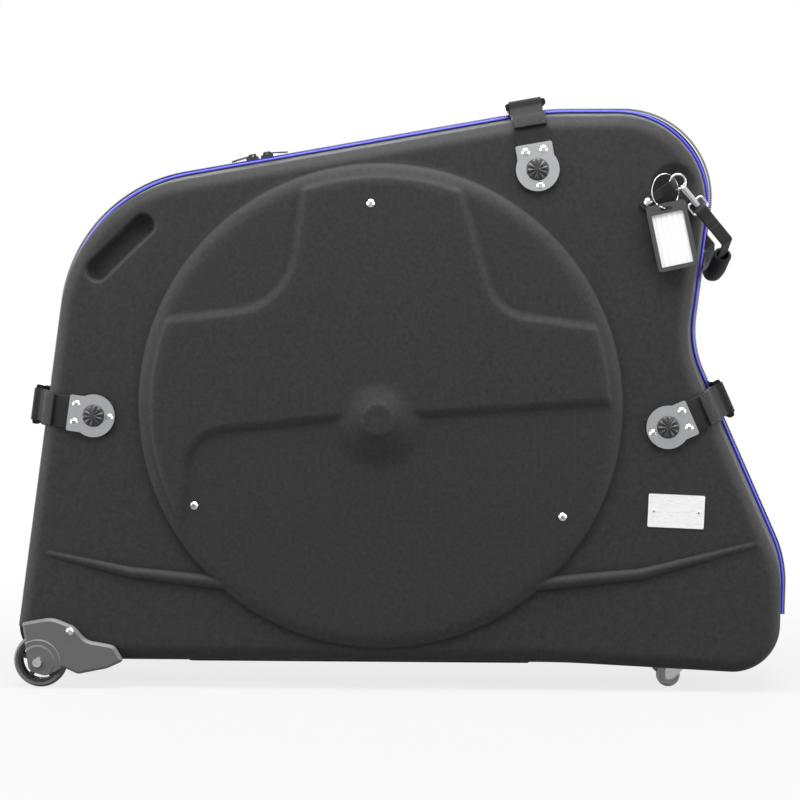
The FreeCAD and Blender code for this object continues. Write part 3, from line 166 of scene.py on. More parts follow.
class CaseSizes(bpy.types.PropertyGroup):
    """Sizes of the cloth, the thread and the mesh."""
    skin_spacing: length("Skin spacing", "Distance between the points of the moulded skin", 0.0046)
    lining_spacing: length("Lining spacing", "Distance between the points of the lining", 0.009)
    wall: length("Wall", "Thickness of the moulded shell", 0.005)
    thread_pitch: length("Thread pitch", "Distance between the threads of the shell's cloth", 0.0017)
    rib_pitch: length("Webbing rib", "Distance between the ribs of the webbing", 0.0016)
    strap_width: length("Strap width", "Width of the closing straps", 0.050)
    strap_thickness: length("Strap thickness", "Thickness of the closing straps", 0.0024)
    handle_width: length("Handle strap width", "Width of the handle straps", 0.019)
    grip_radius: length("Grip radius", "Radius of the padded grip", 0.013)
    stitch_pitch: length("Stitch pitch", "Distance from stitch to stitch", 0.0046)
    stitch_length: length("Stitch length", "Length of one stitch", 0.0032)
    thread: length("Thread", "Thickness of the sewing thread", 0.0008)
    coil_pitch: length("Coil pitch", "Distance from tooth to tooth of the zip", 0.0028)
    tag_wire: length("Tag wire", "Radius of the wire loop of the luggage tag", 0.0009)


class CaseColours(bpy.types.PropertyGroup):
    """Colours of the finishes."""
    shell: colour("Shell cloth", "Black polyester cloth on the foam", "#292929")
    lining: colour("Lining", "Knitted lining inside", "#2b2c2e")
    piping: colour("Piping", "Blue cord round the rim", "#3f41c4")
    zip: colour("Zip", "Tape and coil of the zip", "#0e0e10")
    webbing: colour("Webbing", "Closing straps and tabs", "#1b1b1c")
    steel: colour("Plates", "Satin nickel on the strap plates", "#babbbd")
    zinc: colour("Zinc", "Zinc plated steel of the casters", "#e2e3e4")
    rubber: colour("Rubber", "Studs in the strap plates", "#222224")
    guard: colour("Guard", "Wheel guards", "#575757")
    tyre: colour("Tyre", "Luggage wheel treads", "#636363")
    hub: colour("Hub", "Luggage wheel hubs", "#1d1d1f")
    caster: colour("Caster", "Caster rollers", "#c6c6c6")
    chrome: colour("Nickel", "Snap hooks and rivets", "#c2c3c6")
    grip: colour("Grip", "Padded handle grip", "#222326")
    tag: colour("Tag", "Frame of the luggage tag", "#3c3c3d")
    card: colour("Card", "Card in the luggage tag", "#f1f1ee")
    rules: colour("Rules", "Printed rules on the card", "#cbccd0")
    film: colour("Film", "Clear film over the card", "#f4f6f7")
    buckle: colour("Buckle", "Side release buckles", "#121214")
    aluminium: colour("Nameplate", "Bare nameplate", "#f6f6f7")
    slider: colour("Slider", "Zip sliders and pullers", "#4a4b4f")
    sewing: colour("Thread", "Sewing thread", "#3c3d40")
    floor: colour("Floor", "Studio floor", "#9c9c9c")


class CaseView(bpy.types.PropertyGroup):
    """Where the camera stands."""
    distance: length("Distance", "From the camera to the face of the case", 3.1)
    azimuth: bearing("Azimuth", "How far the camera stands to the right", 2.5)
    elevation: bearing("Elevation", "How far the camera stands above", 2.5)
    field: bearing("Field of view", "Angle across the picture", 22.0)
    target: bpy.props.FloatVectorProperty(name="Target", description="Point in the middle of the picture",
                                          default=(0.0028, -0.115, 0.441), subtype='TRANSLATION')


# Finishes


def add(tree, kind, sockets=None, **settings):
    """Adds a node with its settings; a socket takes a value or the output of another node."""
    node = tree.nodes.new(kind)
    node.location = (len(tree.nodes) * 190.0, 0.0)
    for key, value in settings.items():
        setattr(node, key, value)
    for key, value in (sockets or {}).items():
        if isinstance(value, bpy.types.NodeSocket):
            tree.links.new(value, node.inputs[key])
        else:
            node.inputs[key].default_value = value
    return node


def blank(name):
    """New material with an empty tree."""
    material = bpy.data.materials.new(name)
    material.use_nodes = True
    material.node_tree.nodes.clear()
    return material


def begin(name, base, sockets=None):
    """Tree of a new material, with its one principled shader."""
    tree = blank(name).node_tree
    shader = add(tree, 'ShaderNodeBsdfPrincipled', {'Base Color': base, **(sockets or {})})
    add(tree, 'ShaderNodeOutputMaterial', {'Surface': shader.outputs['BSDF']})
    return tree, shader


def on_piece(tree):
    return add(tree, 'ShaderNodeTexCoord').outputs['Object']


def on_cloth(tree):
    return add(tree, 'ShaderNodeUVMap', uv_map="cloth").outputs['UV']


def mottle(tree, shader, base, coords, grain, spread, rough, rough_spread):
    """Colour and gloss that vary a little at a grain size in metres; returns the grain."""
    fac = add(tree, 'ShaderNodeTexNoise', {'Vector': coords, 'Scale': 1.0 / grain, 'Detail': 3.0,
                                           'Roughness': 0.6}).outputs['Fac']
    low = [c * (1.0 - spread) for c in base[:3]] + [1.0]
    high = [min(c * (1.0 + spread), 1.0) for c in base[:3]] + [1.0]
    mix = add(tree, 'ShaderNodeMix', {0: fac, 6: low, 7: high}, data_type='RGBA')
    tree.links.new(mix.outputs[2], shader.inputs['Base Color'])
    gloss = add(tree, 'ShaderNodeMapRange', {'Value': fac, 'To Min': rough - rough_spread,
                                             'To Max': rough + rough_spread})
    tree.links.new(gloss.outputs['Result'], shader.inputs['Roughness'])
    return fac


def relief(tree, shader, height, strength, depth):
    """Bump of a real depth in metres."""
    bump = add(tree, 'ShaderNodeBump', {'Height': height, 'Strength': strength, 'Distance': depth})
    tree.links.new(bump.outputs['Normal'], shader.inputs['Normal'])


def bands(tree, coords, pitch, way, **sockets):
    """Wave whose crests lie a pitch apart; it repeats every 2 pi / 20 of its scaled coordinate."""
    return add(tree, 'ShaderNodeTexWave', {'Vector': coords, 'Scale': math.pi / 10.0 / pitch, **sockets},
               wave_type='BANDS', bands_direction=way).outputs['Fac']


def crossed(tree, first, second, slub, share):
    """Height of two crossing sets of threads, with a share of their slubs."""
    cross = add(tree, 'ShaderNodeMath', {0: first, 1: second}, operation='MULTIPLY')
    return add(tree, 'ShaderNodeMath', {0: slub, 1: share, 2: cross.outputs[0]},
               operation='MULTIPLY_ADD').outputs[0]


def moulded(name, base, rough, grain, depth, spread=0.10, shine=0.5):
    """Moulded plastic or rubber: even colour, a fine spark-eroded grain and slightly uneven gloss."""
    tree, shader = begin(name, base, {'Specular IOR Level': shine})
    fac = mottle(tree, shader, base, on_piece(tree), grain, spread, rough, 0.06)
    relief(tree, shader, fac, 0.5, depth)


def metal(name, base, rough, grain, stretch, depth, spread=0.12, metallic=1.0):
    """Plated or anodised metal: fine lines drawn out one way, which smear its highlights."""
    tree, shader = begin(name, base, {'Metallic': metallic})
    drawn = add(tree, 'ShaderNodeMapping', {'Vector': on_piece(tree), 'Scale': (1.0 / stretch, 1.0, 1.0)})
    fac = mottle(tree, shader, base, drawn.outputs['Vector'], grain, spread, rough, rough * 0.35)
    relief(tree, shader, fac, 0.35, depth)


def woven(name, base, pitch, rough, depth, sheen, slubs=0.16, shine=0.2, grain=1.6):
    """Cloth of crossing threads on the piece's own cloth coordinates, with slubs and a soft sheen."""
    tree, shader = begin(name, base, {'Specular IOR Level': shine, 'Sheen Weight': sheen,
                                      'Sheen Roughness': 0.3, 'Sheen Tint': (0.3, 0.3, 0.3, 1.0)})
    cloth = on_cloth(tree)
    warp, weft = (bands(tree, cloth, pitch, way, Distortion=0.4, Detail=1.0) for way in 'XY')
    slub = mottle(tree, shader, base, on_piece(tree), pitch * grain, slubs, rough, 0.07)
    relief(tree, shader, crossed(tree, warp, weft, slub, 0.7), 0.6, depth)


def painted_crease_shade_and_edge_highlight(name):
    """Painted light on the cloth: its colour is darkened in the creases of the mould as painted shade, and
    paled on raised edges as a painted highlight.
    """
    tree = finish(name).node_tree
    base = tree.nodes['Principled BSDF'].inputs['Base Color']
    crease = add(tree, 'ShaderNodeAttribute', attribute_name="crease")
    # painted light: colour scaled up on raised edges as a painted highlight and down in creases as painted
    # shade
    shade = add(tree, 'ShaderNodeMapRange', {'Value': crease.outputs['Fac'], 'From Min': -1.0, 'From Max': 1.0,
                                             'To Min': 1.5, 'To Max': 0.5})
    toned = add(tree, 'ShaderNodeVectorMath', {0: base.links[0].from_socket, 'Scale': shade.outputs['Result']},
                operation='SCALE')
    tree.links.new(toned.outputs['Vector'], base)


def webbing(name, base, pitch, rough):
    """Woven polyester webbing: ribs across its length, split by the warp, on its own cloth coordinates."""
    tree, shader = begin(name, base, {'Specular IOR Level': 0.2, 'Sheen Weight': 0.12, 'Sheen Roughness': 0.4})
    cloth = on_cloth(tree)
    skew = add(tree, 'ShaderNodeMapping', {'Vector': cloth, 'Rotation': (0.0, 0.0, math.radians(28.0))})
    twill = bands(tree, skew.outputs['Vector'], pitch, 'Y', Distortion=0.5)
    ribs = bands(tree, cloth, pitch * 1.25, 'X')
    slub = mottle(tree, shader, base, on_piece(tree), pitch * 1.5, 0.18, rough, 0.08)
    relief(tree, shader, crossed(tree, twill, ribs, slub, 0.4), 0.8, pitch * 0.35)


def ruled_card(name, base, rules):
    """Uncoated white card with fine printed rules along the tag."""
    tree, shader = begin(name, base, {'Roughness': 0.7})
    coords = on_piece(tree)
    turned = add(tree, 'ShaderNodeMapping', {'Vector': coords, 'Rotation': (0.0, math.radians(12.0), 0.0)})
    # rules 8.5 mm apart, drawn 1 mm wide so that they show
    wave = bands(tree, turned.outputs['Vector'], 0.0085, 'X')
    line = add(tree, 'ShaderNodeMapRange', {'Value': wave, 'From Min': 0.93, 'From Max': 0.99})
    paper = add(tree, 'ShaderNodeTexNoise', {'Vector': coords, 'Scale': 900.0, 'Detail': 2.0})
    tint = add(tree, 'ShaderNodeMix', {0: line.outputs['Result'], 6: base, 7: rules}, data_type='RGBA')
    tree.links.new(tint.outputs[2], shader.inputs['Base Color'])
    relief(tree, shader, paper.outputs['Fac'], 0.2, 0.0001)


def clear_film(name, base):
    """Clear soft PVC: nearly all light goes straight through, the rest is a glossy skin with faint ripples."""
    tree, shader = begin(name, base, {'Roughness': 0.08, 'Alpha': 0.14, 'IOR': 1.53})
    ripple = add(tree, 'ShaderNodeTexNoise', {'Vector': on_piece(tree), 'Scale': 60.0, 'Detail': 1.0})
    relief(tree, shader, ripple.outputs['Fac'], 0.3, 0.0008)


def make_finishes(scene):
    """Every finish of the case, made once; grain and depth are in metres."""
    c, s = scene.case_colours, scene.case_sizes
    woven("polyester cloth", c.shell, s.thread_pitch, rough=0.62, depth=0.0003, sheen=0.4, slubs=0.6, grain=3.5)
    painted_crease_shade_and_edge_highlight("polyester cloth")
    woven("knitted lining", c.lining, s.thread_pitch * 1.3, rough=0.85, depth=0.0003, sheen=0.2)
    woven("zip tape cloth", c.zip, 0.0012, rough=0.8, depth=0.0002, sheen=0.0, shine=0.08)
    woven("neoprene knit", c.grip, 0.0016, rough=0.8, depth=0.0003, sheen=0.15)
    webbing("polyester webbing", c.webbing, s.rib_pitch, rough=0.6)
    moulded("nylon coil", c.zip, rough=0.5, grain=0.0009, depth=0.00005, shine=0.12)
    # extruded PVC over a cord: smooth, half gloss, lightly wavy along its length
    moulded("extruded PVC piping", c.piping, rough=0.42, grain=0.004, depth=0.0002, spread=0.06)
    moulded("stud rubber", c.rubber, rough=0.45, grain=0.0008, depth=0.00005)
    moulded("grained polypropylene", c.guard, rough=0.48, grain=0.0011, depth=0.00012, spread=0.08)
    moulded("polyurethane tread", c.tyre, rough=0.55, grain=0.0013, depth=0.0001)
    moulded("moulded nylon", c.hub, rough=0.42, grain=0.0012, depth=0.00006)
    moulded("roller rubber", c.caster, rough=0.6, grain=0.0012, depth=0.0001)
    moulded("acetal", c.buckle, rough=0.3, grain=0.0010, depth=0.00006, shine=0.25)
    moulded("soft PVC", c.tag, rough=0.45, grain=0.0009, depth=0.00006)
    moulded("polyester thread", c.sewing, rough=0.55, grain=0.0004, depth=0.00005)
    metal("satin nickel steel", c.steel, rough=0.34, grain=0.0006, stretch=9.0, depth=0.00004)
    metal("zinc plated steel", c.zinc, rough=0.36, grain=0.0016, stretch=2.0, depth=0.00004, metallic=0.5)
    metal("bright nickel", c.chrome, rough=0.2, grain=0.0012, stretch=1.0, depth=0.00002, spread=0.05)
    metal("anodised aluminium", c.aluminium, rough=0.30, grain=0.0005, stretch=24.0, depth=0.00004, spread=0.08,
          metallic=0.4)
    metal("lacquered zinc", c.slider, rough=0.30, grain=0.0010, stretch=1.0, depth=0.00003)
    ruled_card("ruled card", c.card, c.rules)
    clear_film("clear PVC film", c.film)


def finish(name):
    return bpy.data.materials[name]


# Shapes


def direction(a, b):
    size = math.hypot(b[0] - a[0], b[1] - a[1])
    return (b[0] - a[0]) / size, (b[1] - a[1]) / size


def unit(rows):
    return rows / np.linalg.norm(rows, axis=1)[:, None]


def walked(points):
    """Distance along a path at each of its points."""
    return np.concatenate([[0.0], np.cumsum(np.linalg.norm(np.diff(points, axis=0), axis=1))])


def turns(count):
    """Even angles round a full turn."""
    return np.linspace(0.0, 2.0 * math.pi, count, endpoint=False)


def inset(corners, distance):
    """Moves every side of a clockwise outline inwards; radii follow as on a parallel curve."""
    moved = []
    for i, corner in enumerate(corners):
        d1 = direction(corners[i - 1], corner)
        d2 = direction(corner, corners[(i + 1) % len(corners)])
        cross = d1[0] * d2[1] - d1[1] * d2[0]
        ax, az = corner[0] + d1[1] * distance, corner[1] - d1[0] * distance
        bx, bz = corner[0] + d2[1] * distance, corner[1] - d2[0] * distance
        along = ((bx - ax) * d2[1] - (bz - az) * d2[0]) / cross
        radius = max(corner[2] + math.copysign(distance, cross), 0.5) if corner[2] > 0.0 else 0.0
        moved.append((ax + d1[0] * along, az + d1[1] * along, radius))
    return moved


def trace(corners, step, closed=True, counts=None):
    """Points along lines and tangent arcs through rounded corners, and how many each arc and line has."""
    total = len(corners)
    bends = []
    for i, (x, z, radius) in enumerate(corners):
        if radius <= 0.0 or (not closed and i in (0, total - 1)):
            bends.append(((x, z), (x, z), None))
            continue
        d1 = direction(corners[i - 1], corners[i])
        d2 = direction(corners[i], corners[(i + 1) % total])
        turn = math.atan2(d1[0] * d2[1] - d1[1] * d2[0], d1[0] * d2[0] + d1[1] * d2[1])
        reach = radius * math.tan(abs(turn) / 2)
        side = math.copysign(radius, turn)
        start = (x - d1[0] * reach, z - d1[1] * reach)
        middle = (start[0] - d1[1] * side, start[1] + d1[0] * side)
        bends.append((start, (x + d2[0] * reach, z + d2[1] * reach), (middle, turn, radius)))
    points, used = [], []
    for i, (start, end, arc) in enumerate(bends):
        last = not closed and i == total - 1
        after = bends[(i + 1) % total][0]
        if counts:
            n_arc, n_line = counts[i]
        else:
            n_arc = max(2, round(abs(arc[1]) * arc[2] / step), round(abs(arc[1]) / 0.2)) if arc else 0
            n_line = 0 if last else max(1, round(math.dist(end, after) / step))
        used.append((n_arc, n_line))
        for k in range(n_arc):
            (mx, mz), a = arc[0], arc[1] * k / n_arc
            rx, rz = start[0] - mx, start[1] - mz
            points.append((mx + rx * math.cos(a) - rz * math.sin(a), mz + rx * math.sin(a) + rz * math.cos(a)))
        for k in range(n_line):
            points.append(tuple(p + (q - p) * k / n_line for p, q in zip(end, after)))
        if last:
            points.append(end)
    return np.array(points), used


def grid(rows, cols):
    """Quads between closed rows of points."""
    k = np.arange(rows - 1)[:, None]
    i = np.arange(cols)[None, :]
    j = (i + 1) % cols
    return np.stack([k * cols + i, k * cols + j, (k + 1) * cols + j, (k + 1) * cols + i], -1).reshape(-1, 4)


def on_corners(cloth, faces):
    """Cloth coordinates of points, given to every corner of the faces."""
    return np.array([cloth[v] for face in faces for v in face])


def swept(rings, across, walk):
    """Capped body through rings of points, with cloth coordinates across and along it."""
    rows, count = rings.shape[:2]
    faces = grid(rows, count).tolist()
    faces.append(list(range(count))[::-1])
    faces.append([(rows - 1) * count + k for k in range(count)])
    cloth = np.stack([np.tile(across, rows), np.repeat(walk, count)], 1)
    return rings.reshape(-1, 3), faces, on_corners(cloth, faces)


def ease(value, low, high):
    """Smooth step from 0 at low to 1 at high."""
    t = np.clip((value - low) / (high - low), 0.0, 1.0)
    return t * t * (3.0 - 2.0 * t)


def soft_max(a, b, width):
    """Larger of two surfaces, with a rounded line where they meet."""
    h = np.clip(0.5 + 0.5 * (a - b) / width, 0.0, 1.0)
    return b + (a - b) * h + width * h * (1.0 - h)


def outline_distance(x, z, corners):
    """Distance inside a closed outline, negative outside."""
    nearest = np.full(x.shape, 1e9)
    inside = np.zeros(x.shape, bool)
    for (ax, az), (bx, bz) in zip(corners, np.roll(corners, -1, 0)):
        dx, dz = bx - ax, bz - az
        t = np.clip(((x - ax) * dx + (z - az) * dz) / (dx * dx + dz * dz), 0.0, 1.0)
        nearest = np.minimum(nearest, np.hypot(x - ax - t * dx, z - az - t * dz))
        if dz != 0.0:
            inside ^= ((az > z) != (bz > z)) & (x < ax + (z - az) / dz * dx)
    return np.where(inside, nearest, -nearest)


def recess_distance(x, z):
    """Distance from the edge of the hand recess, negative inside."""
    cx, cz, angle, half_length, half_width = RECESS
    u = (x - cx) * math.cos(angle) + (z - cz) * math.sin(angle)
    v = (z - cz) * math.cos(angle) - (x - cx) * math.sin(angle)
    return np.hypot(np.maximum(np.abs(u) - (half_length - half_width), 0.0), v) - half_width


def rib_depth(x, z, span):
    """Depth of a half-round rib, falling away beside it."""
    (ax, az, first), (bx, bz, last) = span
    size = math.hypot(bx - ax, bz - az)
    t = ((x - ax) * (bx - ax) + (z - az) * (bz - az)) / size
    held = np.clip(t, 0.0, size)
    side = np.hypot(t - held, ((x - ax) * (bz - az) - (z - az) * (bx - ax)) / size)
    radius = first + (last - first) * held / size
    return RIB_DEPTH + np.sqrt(np.maximum(radius ** 2 - side ** 2, 0.0)) - np.maximum(side - radius, 0.0) * 3.0


def dimple_depth(d):
    """How deep the dimple is at a distance from its middle."""
    radius, sunk = DIMPLE[2:]
    ball = (radius ** 2 + sunk ** 2) / (2.0 * sunk)
    dish = np.sqrt(np.maximum(ball ** 2 - d ** 2, 0.0)) - (ball - sunk)
    return np.where(d < radius + 25.0, soft_max(dish, np.zeros_like(dish), 1.2), 0.0)


def moulded_depth(x, z, depth):
    """Depth of the moulded skin in front of the seam, with all that is raised from it or sunk into it."""
    on_face = depth > FACE_DEPTH
    r = np.hypot(x - DISC[0], z - DISC[1])
    out = np.where(on_face, np.maximum(depth, np.interp(r, *DISC_EDGE)), depth)
    inside = outline_distance(x, z, trace(BAND, 12.0)[0])
    band = BAND_HEIGHT * ease(inside, 1.0, 18.0) * ease(-r, -352.0, -342.0)
    out = out + np.where(r < 352.0, band, 0.0)
    h = np.hypot(x - HUB[0], z - HUB[1])
    out = np.where(h < 90.0, soft_max(out, np.interp(h, *HUB_CONE), 2.4), out)
    for span in RIB_SPANS:
        out = np.where(depth > 90.0, soft_max(out, rib_depth(x, z, span), 2.2), out)
    sunk = np.interp(recess_distance(x, z), *RECESS_WALL)
    out = out - np.where(on_face, sunk + dimple_depth(np.hypot(x - DIMPLE[0], z - DIMPLE[1])), 0.0)
    wx, wz, wr = WHEEL
    notch = ((x < wx) & (z < wz + wr)) | ((z < wz) & (x < wx + wr)) | (np.hypot(x - wx, z - wz) < wr)
    return np.where(notch, np.minimum(out, NOTCH_DEPTH), out)


def creases(points):
    """How the skin bends at each point of its face: 1 in a sharp crease, negative on a raised edge; it drives
    the painted shade and painted highlight on the cloth.
    """
    x, z = points[:, 0], points[:, 2]
    flat = np.full(len(x), HALF_DEPTH)
    beside = ((5.0, 0.0), (-5.0, 0.0), (0.0, 5.0), (0.0, -5.0))
    around = sum(moulded_depth(x + dx, z + dz, flat) for dx, dz in beside)
    bend = np.clip(around / 4.0 - moulded_depth(x, z, flat), -0.4, 1.0)
    return np.where(points[:, 1] < 1.0 - HALF_DEPTH, bend, 0.0)


def face_corners():
    """Outline where the sides would meet the flat of the face."""
    corners = inset(SEAM, HALF_DEPTH * math.tan(DRAFT))
    for i, lift in BOTTOM_LIFTS.items():
        corners[i] = (corners[i][0], SEAM[i][1] + lift, corners[i][2])
    return corners


def section(depth, pull):
    """Outline of the shell at a depth, moved inwards."""
    share = depth / HALF_DEPTH
    return inset([tuple(p + (q - p) * share for p, q in zip(a, b)) for a, b in zip(SEAM, face_corners())], pull)


def lattice(step, rise):
    """Even points over the face, every other row shifted by half a step."""
    x, z = np.meshgrid(np.arange(-620.0, 620.0, step), np.arange(20.0, 900.0, rise))
    x[1::2] += step / 2
    return x, z


def edge_rows():
    """Rows of points along every moulded edge of the face."""
    rows = []

    def rings(x, z, radii):
        for radius in radii:
            a = turns(max(8, round(2.0 * math.pi * radius / ROW_STEP)))
            rows.append(np.stack([x + radius * np.cos(a), z + radius * np.sin(a)], 1))

    rings(*DISC[:2], DISC_ROWS)
    for pull in BAND_ROWS:
        line = trace(inset(BAND, pull), ROW_STEP)[0]
        rows.append(line[np.hypot(line[:, 0] - DISC[0], line[:, 1] - DISC[1]) < 350.0])
    rings(*HUB, HUB_ROWS)
    cx, cz, angle, half_length, half_width = RECESS
    for grow in RECESS_ROWS:
        half = half_width + grow
        run = half_length - half_width + half
        line = trace([(-run, -half, half), (-run, half, half), (run, half, half), (run, -half, half)], 3.0)[0]
        rows.append(np.stack([cx + line[:, 0] * math.cos(angle) - line[:, 1] * math.sin(angle),
                              cz + line[:, 0] * math.sin(angle) + line[:, 1] * math.cos(angle)], 1))
    rings(*DIMPLE[:2], DIMPLE_ROWS)
    for (ax, az, first), (bx, bz, last) in RIB_SPANS:
        size = math.hypot(bx - ax, bz - az)
        ux, uz = (bx - ax) / size, (bz - az) / size
        t, s = np.meshgrid(np.arange(-8.0, size + 1.0, ROW_STEP), np.array(RIB_ROWS))
        s = np.concatenate([s, -s, s[:1] * 0.0])
        t = np.concatenate([t, t, t[:1]])
        radius = first + (last - first) * np.clip(t / size, 0.0, 1.0)
        rows.append(np.stack([ax + ux * t - uz * s * radius, az + uz * t + ux * s * radius], -1).reshape(-1, 2))
    wx, wz, wr = WHEEL
    for grow in (-0.4, 0.4):
        right, top = wx + wr + grow, wz + wr + grow
        corners = [(wx - 90.0, top, 0.0), (right, top, wr + grow), (right, -20.0, 0.0)]
        rows.append(trace(corners, ROW_STEP, closed=False)[0])
    return rows


def feature_fill(boundary):
    """Points inside an outline, in rows along every moulded edge with an even fill between them."""
    kept = {}
    cell = 8.0

    def take(points, clear):
        inside = outline_distance(points[:, 0], points[:, 1], boundary)
        for (px, pz), gap in zip(points, inside):
            if gap < 1.4:
                continue
            gx, gz = int(px // cell), int(pz // cell)
            near = [p for i in (gx - 1, gx, gx + 1) for j in (gz - 1, gz, gz + 1) for p in kept.get((i, j), ())]
            if all((px - p[0]) ** 2 + (pz - p[1]) ** 2 >= clear * clear for p in near):
                kept.setdefault((gx, gz), []).append((px, pz))

    for row in edge_rows():
        take(row, 0.75)
    x, z = lattice(9.0, 7.8)
    take(np.stack([x.ravel(), z.ravel()], 1), 5.2)
    return [p for spots in kept.values() for p in spots]


def coarse_fill(boundary, step):
    """Even points inside an outline."""
    x, z = lattice(step, step * 0.87)
    inside = outline_distance(x, z, boundary) > step * 0.6
    return list(zip(x[inside], z[inside]))


def edge_rings(spacing, rows, counts):
    """Depth and outline of each row over the round between the sides and the face."""
    flat = HALF_DEPTH - EDGE_ROUND
    rings = []
    for k in range(rows + 1):
        a = DRAFT + (math.pi / 2 - DRAFT) * k / rows
        depth = flat + EDGE_ROUND * math.sin(a)
        pull = EDGE_ROUND / math.cos(DRAFT) - EDGE_ROUND * math.cos(a) - (depth - flat) * math.tan(DRAFT)
        rings.append((depth, trace(section(depth, pull), spacing, counts=counts)[0]))
    return rings


def skin(spacing, wall_rows, round_rows, details, rim_wall):
    """Points, faces and cloth coordinates of the front half's moulded skin, from its rim to its face."""
    seam, counts = trace(SEAM, spacing)
    cols = len(seam)
    rounded = edge_rings(spacing, round_rows, counts)
    start_depth, start = rounded[0]
    ends = np.where(seam[:, 0] < DISC[0], ZIP_ENDS[0], ZIP_ENDS[1]) - 2.0
    rim = np.where(seam[:, 1] > ends, RIM_SETBACK, ZIP_GAP)
    rows = []

    def wall_row(depth, pull):
        base = seam + (start - seam) * (depth / start_depth)[:, None]
        ahead = unit(np.roll(base, -1, 0) - np.roll(base, 1, 0))
        inner = base + np.stack([ahead[:, 1], -ahead[:, 0]], 1) * pull
        rows.append(np.stack([inner[:, 0], -depth, inner[:, 1]], 1))

    if rim_wall:
        for pull in (rim_wall, rim_wall * 0.5, 0.8):
            wall_row(rim, pull)
        wall_row(rim + 0.9, 0.0)
    first = rim + 2.0
    for k in range(wall_rows):
        wall_row(first + (start_depth - first) * k / wall_rows, 0.0)
    for depth, ring in rounded:
        rows.append(np.stack([ring[:, 0], np.full(cols, -depth), ring[:, 1]], 1))
    sides = np.concatenate(rows)

    # the face is triangulated in its plane, and its edge shares the last row of the round
    edge = rounded[-1][1]
    fill = feature_fill(edge) if details else coarse_fill(edge, spacing * 1.6)
    flat = [Vector(p) for p in edge] + [Vector(p) for p in fill]
    coords, _, tris, sources, _, _ = delaunay_2d_cdt(flat, [], [list(range(cols))], 1, 1e-6)
    spots = np.array([tuple(p) for p in coords])
    index, added = [], []
    for spot, source in zip(spots, sources):
        shared = [s for s in source if s < cols]
        index.append(len(sides) - cols + shared[0] if shared else len(sides) + len(added))
        if not shared:
            added.append((spot[0], -HALF_DEPTH, spot[1]))
    points = np.concatenate([sides, np.array(added)])
    points[:, 1] = -moulded_depth(points[:, 0], points[:, 2], -points[:, 1])
    cx, cy, radius, height = CASTER
    points[(np.hypot(points[:, 0] - cx, points[:, 1] + cy) < radius) & (points[:, 2] < height), 2] = height

    wall = grid(len(rows), cols)[:, ::-1]
    faces = wall.tolist() + [[index[i] for i in t] for t in tris]
    walk = walked(np.concatenate([seam, seam[:1]]))
    climb = walked(np.array(rows)[:, 0])
    cloth = []
    for quad in wall:
        column = quad % cols
        wrapped = column.max() == cols - 1 and column.min() == 0
        for v, col in zip(quad, column):
            cloth.append((walk[cols if wrapped and col == 0 else col], climb[v // cols]))
    for t in tris:
        cloth += [tuple(spots[i]) for i in t]
    return points, faces, np.array(cloth)


def strip(points, side, width, thickness):
    """Flat band of webbing along points, its width along side, and what on_band needs to find a place on it."""
    points = np.array(points, float)
    ahead = unit(np.gradient(points, axis=0))
    side = np.broadcast_to(np.array(side, float), points.shape)
    side = unit(side - ahead * np.sum(side * ahead, axis=1)[:, None])
    up = np.cross(side, ahead)
    half, lift = width / 2, thickness / 2
    edge = min(lift * 1.4, half * 0.2)
    top = [(-half, 0.0), (-half + edge * 0.3, lift * 0.75), (-half + edge, lift), (-half * 0.5, lift),
           (0.0, lift), (half * 0.5, lift), (half - edge, lift), (half - edge * 0.3, lift * 0.75), (half, 0.0)]
    loop = np.array(top + [(s, -h) for s, h in reversed(top[1:-1])])
    walk = walked(points)
    rings = points[:, None] + side[:, None] * loop[None, :, :1] + up[:, None] * loop[None, :, 1:]
    return swept(rings, loop[:, 0], walk), (points, side, up, walk)


def on_band(band, along, across, lift):
    """Point on a strip at a distance along and across it, lifted from its middle."""
    points, side, up, walk = band

    def mix(rows):
        return np.array([np.interp(along, walk, rows[:, i]) for i in range(3)])

    return mix(points) + mix(side) * across + mix(up) * lift


def cross_seam(band, along, reach, lift, count):
    """Line of stitching across a strip."""
    return [on_band(band, along, u, lift) for u in np.linspace(-reach, reach, count)]


def wire_loop(points, radius, segments):
    """Closed loop of round wire."""
    ahead = unit(np.roll(points, -1, 0) - np.roll(points, 1, 0))
    side = unit(np.cross(ahead, np.broadcast_to(np.array([0.31, 0.17, 0.93]), ahead.shape)))
    up = np.cross(side, ahead)
    a = turns(segments)
    ring = side[:, None] * np.cos(a)[None, :, None] - up[:, None] * np.sin(a)[None, :, None]
    verts = (points[:, None] + ring * radius).reshape(-1, 3)
    faces = (grid(len(points) + 1, segments) % len(verts))[:, ::-1].tolist()
    cloth = np.stack([np.tile(a * radius, len(points)), np.repeat(walked(points), segments)], 1)
    return verts, faces, on_corners(cloth, faces)


def smoothed(points, rounds):
    """Cuts the corners of a path again and again, keeping its ends."""
    points = np.array(points, float)
    for _ in range(rounds):
        quarter = points[:-1] * 0.75 + points[1:] * 0.25
        three = points[:-1] * 0.25 + points[1:] * 0.75
        points = np.concatenate([points[:1], np.stack([quarter, three], 1).reshape(-1, 3)[1:-1], points[-1:]])
    return points


def mirrored(part):
    """The same part on the other half."""
    points, faces, cloth = part
    flipped = points * np.array([1.0, -1.0, 1.0])
    starts = np.concatenate([[0], np.cumsum([len(f) for f in faces])])
    order = np.concatenate([np.arange(b - 1, a - 1, -1) for a, b in zip(starts[:-1], starts[1:])])
    return flipped, [f[::-1] for f in faces], cloth[order]


def halves(parts, body="half"):
    """Name, body and parts of the front, then of the rear as its mirror image."""
    yield "front", "front_" + body, parts
    yield "rear", "rear_" + body, [mirrored(part) for part in parts]


def link(name, data):
    """New object in the scene."""
    obj = bpy.data.objects.new(name, data)
    bpy.context.scene.collection.objects.link(obj)
    return obj


